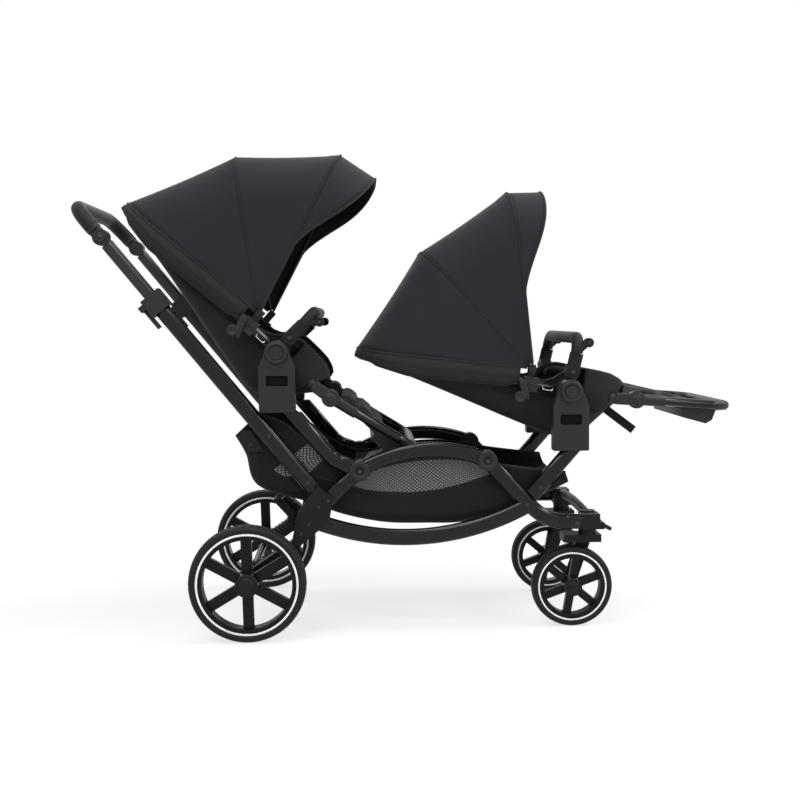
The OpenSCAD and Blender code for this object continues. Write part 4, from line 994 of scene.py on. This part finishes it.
# %% Screws and pressed discs
def head(bm, x, y, z, r, socket=True):
    """One screw head on a face that looks sideways, away from the middle."""
    out = math.copysign(1, y)
    made = bmesh.ops.create_circle(bm, cap_ends=True, segments=24, radius=r)
    face = made["verts"][0].link_faces[0]
    top = bmesh.ops.extrude_face_region(bm, geom=[face])
    raised = [v for v in top["geom"] if isinstance(v, bmesh.types.BMVert)]
    bmesh.ops.translate(bm, vec=(0, 0, r * 0.42), verts=raised)
    bmesh.ops.scale(bm, vec=(0.86, 0.86, 1), verts=raised)
    verts = made["verts"] + raised
    if socket:
        hollow = bmesh.ops.create_circle(bm, cap_ends=True, segments=6, radius=r * 0.42)
        bmesh.ops.translate(bm, vec=(0, 0, r * 0.425), verts=hollow["verts"])
        floor_face = hollow["verts"][0].link_faces[0]
        bmesh.ops.inset_individual(bm, faces=[floor_face], thickness=r * 0.06, depth=-r * 0.2)
        verts += list({v for v in floor_face.verts} | set(hollow["verts"]))
    spin = Matrix(((1, 0, 0), (0, 0, out), (0, 1, 0))).to_4x4()
    bmesh.ops.transform(bm, matrix=Matrix.Translation((x, y, z)) @ spin, verts=list(set(verts)))


def screws(name, body, spots, material=None):
    bm = bmesh.new()
    for x, y, z, r in spots:
        head(bm, x, y, z, r)
    bmesh.ops.recalc_face_normals(bm, faces=bm.faces)
    return piece(name, bm, material or screw, body, smooth=False)


def mm(x, z):
    return x / 1000 - ORIGIN_X, z / 1000


ELBOW_X, ELBOW_Z = -0.3236 - ORIGIN_X, 0.9266


def both(x, y, z, r):
    return [(x, y, z, r), (x, -y, z, r)]


frame_spots = []
for x, z, y, r in ((259, 384, 0.2341, 0.0062), (557, 404, 0.2341, 0.0062), (164, 302, 0.2326, 0.0042),
                   (140, 262, 0.2326, 0.0038), (186, 316, 0.2326, 0.0038), (121, 240, 0.2326, 0.0036),
                   (0, 135, 0.2326, 0.0075), (649, 300, 0.2240, 0.0052), (681, 339, 0.2240, 0.0052),
                   (51, 468, 0.2245, 0.0048), (139, 358, 0.2245, 0.0048), (767, 254, 0.2240, 0.0068)):
    frame_spots += both(*mm(x, z)[:1], y, mm(x, z)[1], r)
screws("frame_screws", "chassis", frame_spots)
heads = len(frame_spots)
for seat in seats:
    spots, rest_spots, bar_spots = [], [], []
    for x, z, y, r in ((116, -3, 0.1976, 0.0046), (-90, 41, 0.1935, 0.0036)):
        p = at_seat(seat, x / 1000, 0, z / 1000)
        spots += both(p.x, y, p.z, r)
    p = at_leg(seat, 0.050, 0, 0)
    rest_spots += both(p.x, 0.1881, p.z, 0.0036)
    for x, z, y, r in ((0, 46, 0.2201, 0.0062), (28, 118, 0.2201, 0.0050)):
        p = at_seat(seat, x / 1000, 0, z / 1000)
        bar_spots += both(p.x, y, p.z, r)
    screws(f"{seat}_seat_screws", f"{seat}_seat", spots)
    screws(f"{seat}_rest_screws", f"{seat}_leg_rest", rest_spots)
    screws(f"{seat}_bar_screws", f"{seat}_bumper", bar_spots)
    heads += len(spots + rest_spots + bar_spots)
print("screw heads:", heads)

# %% [markdown]
# Round covers with a stepped face sit over the leg rest joints, the handle elbows and the
# frame hinges. Each is a short outline spun round its own axle.

# %% Round joint covers
def disc(name, x, y, z, outline, body):
    out = math.copysign(1, y)
    bm = spun([(r / 1000, y + out * h / 1000) for r, h in outline], (x, y, z), 48, closed=False)
    return piece(name, bm, moulded, body)


leg_face = [(19, 0), (18.2, 1.4), (15.2, 1.8), (14.4, 0.9), (12.8, 0.9), (11.8, 2.2), (4, 2.6), (0.01, 2.6)]
elbow_face = [(11, 0), (10.5, 1.2), (8.6, 1.6), (7.8, 0.8), (6.6, 0.8), (5.8, 1.8), (0.01, 2.2)]
hinge_face = [(23, 0), (22.3, 1.3), (20.6, 1.8), (8.2, 2.0), (7.4, 0.4)]
tab_face = [(13.5, -4), (13.3, 0.6), (12.0, 1.4), (8.0, 1.8), (7.2, 1.1), (0.01, 1.2)]
snap_face = [(4.6, 0), (4.2, 0.9), (2.8, 1.2), (2.2, 0.5), (0.01, 0.5)]
hub_face = [(24.6, 0), (24.0, 1.2), (19.4, 1.9), (18.2, 0.5), (16.0, 0.4)]
for name, out in SIDES:
    for seat in seats:
        p = at_leg(seat, 0, 0, 0)
        disc(f"{seat}_leg_cover_{name}", p.x, out * 0.1975, p.z, leg_face, f"{seat}_seat")
        p = at_seat(seat, 0, 0, 0)
        disc(f"{seat}_hub_cover_{name}", p.x, out * 0.2395, p.z, hub_face, f"{seat}_seat")
    disc(f"elbow_cover_{name}", ELBOW_X, out * 0.228, ELBOW_Z, elbow_face, "handle")
    for tag, x, z in (("rear", 259, 384), ("front", 557, 404)):
        disc(f"{tag}_hinge_cover_{name}", mm(x, z)[0], out * 0.231, mm(x, z)[1], hinge_face, "chassis")
print("round covers: 14")

# %% [markdown]
# The leg rest is one solid of two stuffs: the straight tubes are painted like the frame, and the
# sockets, the foot board and the end bar are duller mouldings. Each face is told apart by its place.

# %% Two finishes on the leg rests
for seat in seats:
    rest = nodes[f"{seat}_leg_rest"]
    rest.data.materials.append(moulded)
    hinge = at_leg(seat, 0, 0, 0)
    for face in rest.data.polygons:
        step = face.center - hinge
        x, z = turned(seats[seat]["lift"] - seats[seat]["tilt"], step.x, step.z)
        face.material_index = 1 if x < 0.066 or x > 0.195 or z < -0.0112 else 0
print("leg rests: tube faces", sum(face.material_index == 0 for face in rest.data.polygons))

# %% [markdown]
# A tab frees each canopy clamp, and a near-black sheet in each adapter's slot is painted shade that stands for
# the dark of the recess.
# Both are small mouldings, so one rounded cube is bent into place for each.

# %% Clamp tabs and slots
for seat in seats:
    for name, out in SIDES:
        def on_tab(x, y, z):
            return at_seat(seat, -0.104 + x - 0.35 * z, out * 0.1965 + y, -0.010 + z)

        def on_slot(x, y, z):
            hub = seats[seat]["hub"]
            return Vector((hub[0] + x, out * 0.2248 + y, hub[1] - 0.065 + z))

        block(f"{seat}_clamp_tab_{name}", (0.020, 0.010, 0.046), on_tab, moulded, f"{seat}_seat",
              0.0045)
        tab = at_seat(seat, -0.112, out * 0.2012, -0.029)
        disc(f"{seat}_tab_disc_{name}", tab.x, tab.y, tab.z, tab_face, f"{seat}_seat")
        # a thin near-black sheet of painted shade, laid in the adapter's slot
        block(f"{seat}_painted_slot_shade_{name}", (0.0492, 0.0014, 0.0232), on_slot, hollow, "chassis",
              0.0003)
print("clamp tabs and painted slot shades:", 4 * len(seats))

# %% [markdown]
# The loose end of the recline strap hangs under the front seat, a bent wire sits below each
# canopy clamp, and a snap closes each pocket at the back of the basket.

# %% Strap end, wire clips and pocket flaps
TAIL = 0.092


def on_tail(s, w):
    share = s / TAIL
    curl = 0.004 * math.sin(3 * share)
    return at_seat("front", 0.098 + 0.080 * share + 0.49 * w, -0.146 + curl,
                   -0.030 - 0.045 * share + 0.87 * w)


strap("front_recline_tail", "front_seat", on_tail, TAIL, 0.020)
clip = ((-0.063, 0.003), (-0.061, -0.004), (-0.040, -0.005), (-0.038, 0.001))
for seat in seats:
    for name, out in SIDES:
        run = [at_seat(seat, x, out * 0.1975, z) for x, z in clip]
        cord_along(f"{seat}_wire_clip_{name}", run, 0.0011, wire, f"{seat}_seat")
pocket_x = mm(6, 0)[0]
for name, out in SIDES:
    def on_pocket(x, y, z):
        lean = 0.35 * z + 0.004 * math.sin(40 * z)
        return Vector((pocket_x + x * (1 - 6 * z) - lean, out * 0.1985 + y, 0.4545 + z))

    block(f"pocket_flap_{name}", (0.030, 0.0036, 0.050), on_pocket, seat_cloth, "chassis",
          0.0015)
    disc(f"pocket_snap_{name}", pocket_x, out * 0.2001, 0.446, snap_face, "chassis")
print("strap ends: 1, wire clips:", 2 * len(seats), "pocket flaps: 2")

# %% [markdown]
# The brake pedal has a thick sole, with ribs that stop a shoe from slipping off. Sole and ribs
# are drawn flat and then turned to the pedal's slope.

# %% Brake pedal
PEDAL_SLOPE, PEDAL_RIBS = 48 - 180, 4


def on_pedal(along, up):
    def place(x, y, z):
        a, b = turned(PEDAL_SLOPE, along + x, up + z)
        return Vector((0.123 - ORIGIN_X + a, -0.120 + y, 0.234 + b))
    return place


block("pedal_sole", (0.052, 0.066, 0.022), on_pedal(0.062, -0.009), cast, "brake_pedal",
      0.006)
for k in range(PEDAL_RIBS):
    block(f"pedal_rib_{k}", (0.004, 0.054, 0.003), on_pedal(0.052 + 0.011 * k, 0.0045), cast,
          "brake_pedal", 0.001)
print("pedal ribs:", PEDAL_RIBS)

# %% [markdown]
# The foam grip is closed by a seam along its inside, and a short ferrule ends it at each elbow.
# Both follow the grip's centre line.

# %% Grip seam and ferrules
GRIP_SLOPE = math.radians(49)


def on_grip(t):
    """A point of the grip's centre line, from the left end to the right."""
    half, reach, bend, foot = 0.212, 0.096, 0.068, 0.0275
    side, corner, top = reach - bend - foot, bend * math.pi / 2, 2 * (half - bend)
    whole = 2 * side + 2 * corner + top
    far, hand = min(t, 1 - t) * whole, 1 if t <= 0.5 else -1
    if far < side:
        y, r = half, foot + far
    elif far < side + corner:
        a = (far - side) / bend
        y, r = half - bend + bend * math.cos(a), reach - bend + bend * math.sin(a)
    else:
        y, r = half - bend - (far - side - corner), reach
    return hand * y, r


def grip_point(t, up):
    y, r = on_grip(t)
    c, s = math.cos(GRIP_SLOPE), math.sin(GRIP_SLOPE)
    return Vector((ELBOW_X - r * c - up * s, y, ELBOW_Z + r * s - up * c))


seam = [grip_point(k / 96, 0.0168) for k in range(97)]
cord_along("grip_seam", seam, 0.0011, tape, "handle")
for name, t in (("left", 0.0), ("right", 1.0)):
    y = on_grip(t)[0]
    run = [Vector((ELBOW_X - q * math.cos(GRIP_SLOPE), y, ELBOW_Z + q * math.sin(GRIP_SLOPE)))
           for q in (0.0226, 0.030)]
    cord_along(f"grip_ferrule_{name}", run, 0.0178, moulded, "handle")
print("grip seam points:", len(seam), "ferrules: 2")

# %% [markdown]
# The floor is a wide pale disc. It keeps the shadow near the wheels. Farther out, where it is
# looked at or mirrored, it is lifted to white, so that it runs into the white behind it.

# %% Floor
bm = bmesh.new()
bmesh.ops.create_circle(bm, cap_ends=True, segments=96, radius=40)
ground = Finish("floor", (0.9, 0.9, 0.9), 0.9, specular=0.1)
glow = ground.node("ShaderNodeEmission", {}, Color=(1, 1, 1, 1))
spot = ground.node("ShaderNodeSeparateXYZ", {}, ground.place())
away = (spot.out("X") * spot.out("X") + spot.out("Y") * spot.out("Y")) * 0.06
lift = ground.seen() * (away + 0.72).least(1.0)
surface = ground.node("ShaderNodeMixShader", {}, lift, Sum(ground, ground.shader.outputs[0]), glow)
ground.put(ground.tree.nodes["Material Output"].inputs["Surface"], surface)
floor = piece("floor", bm, ground.material, smooth=False)
print("floor ready")
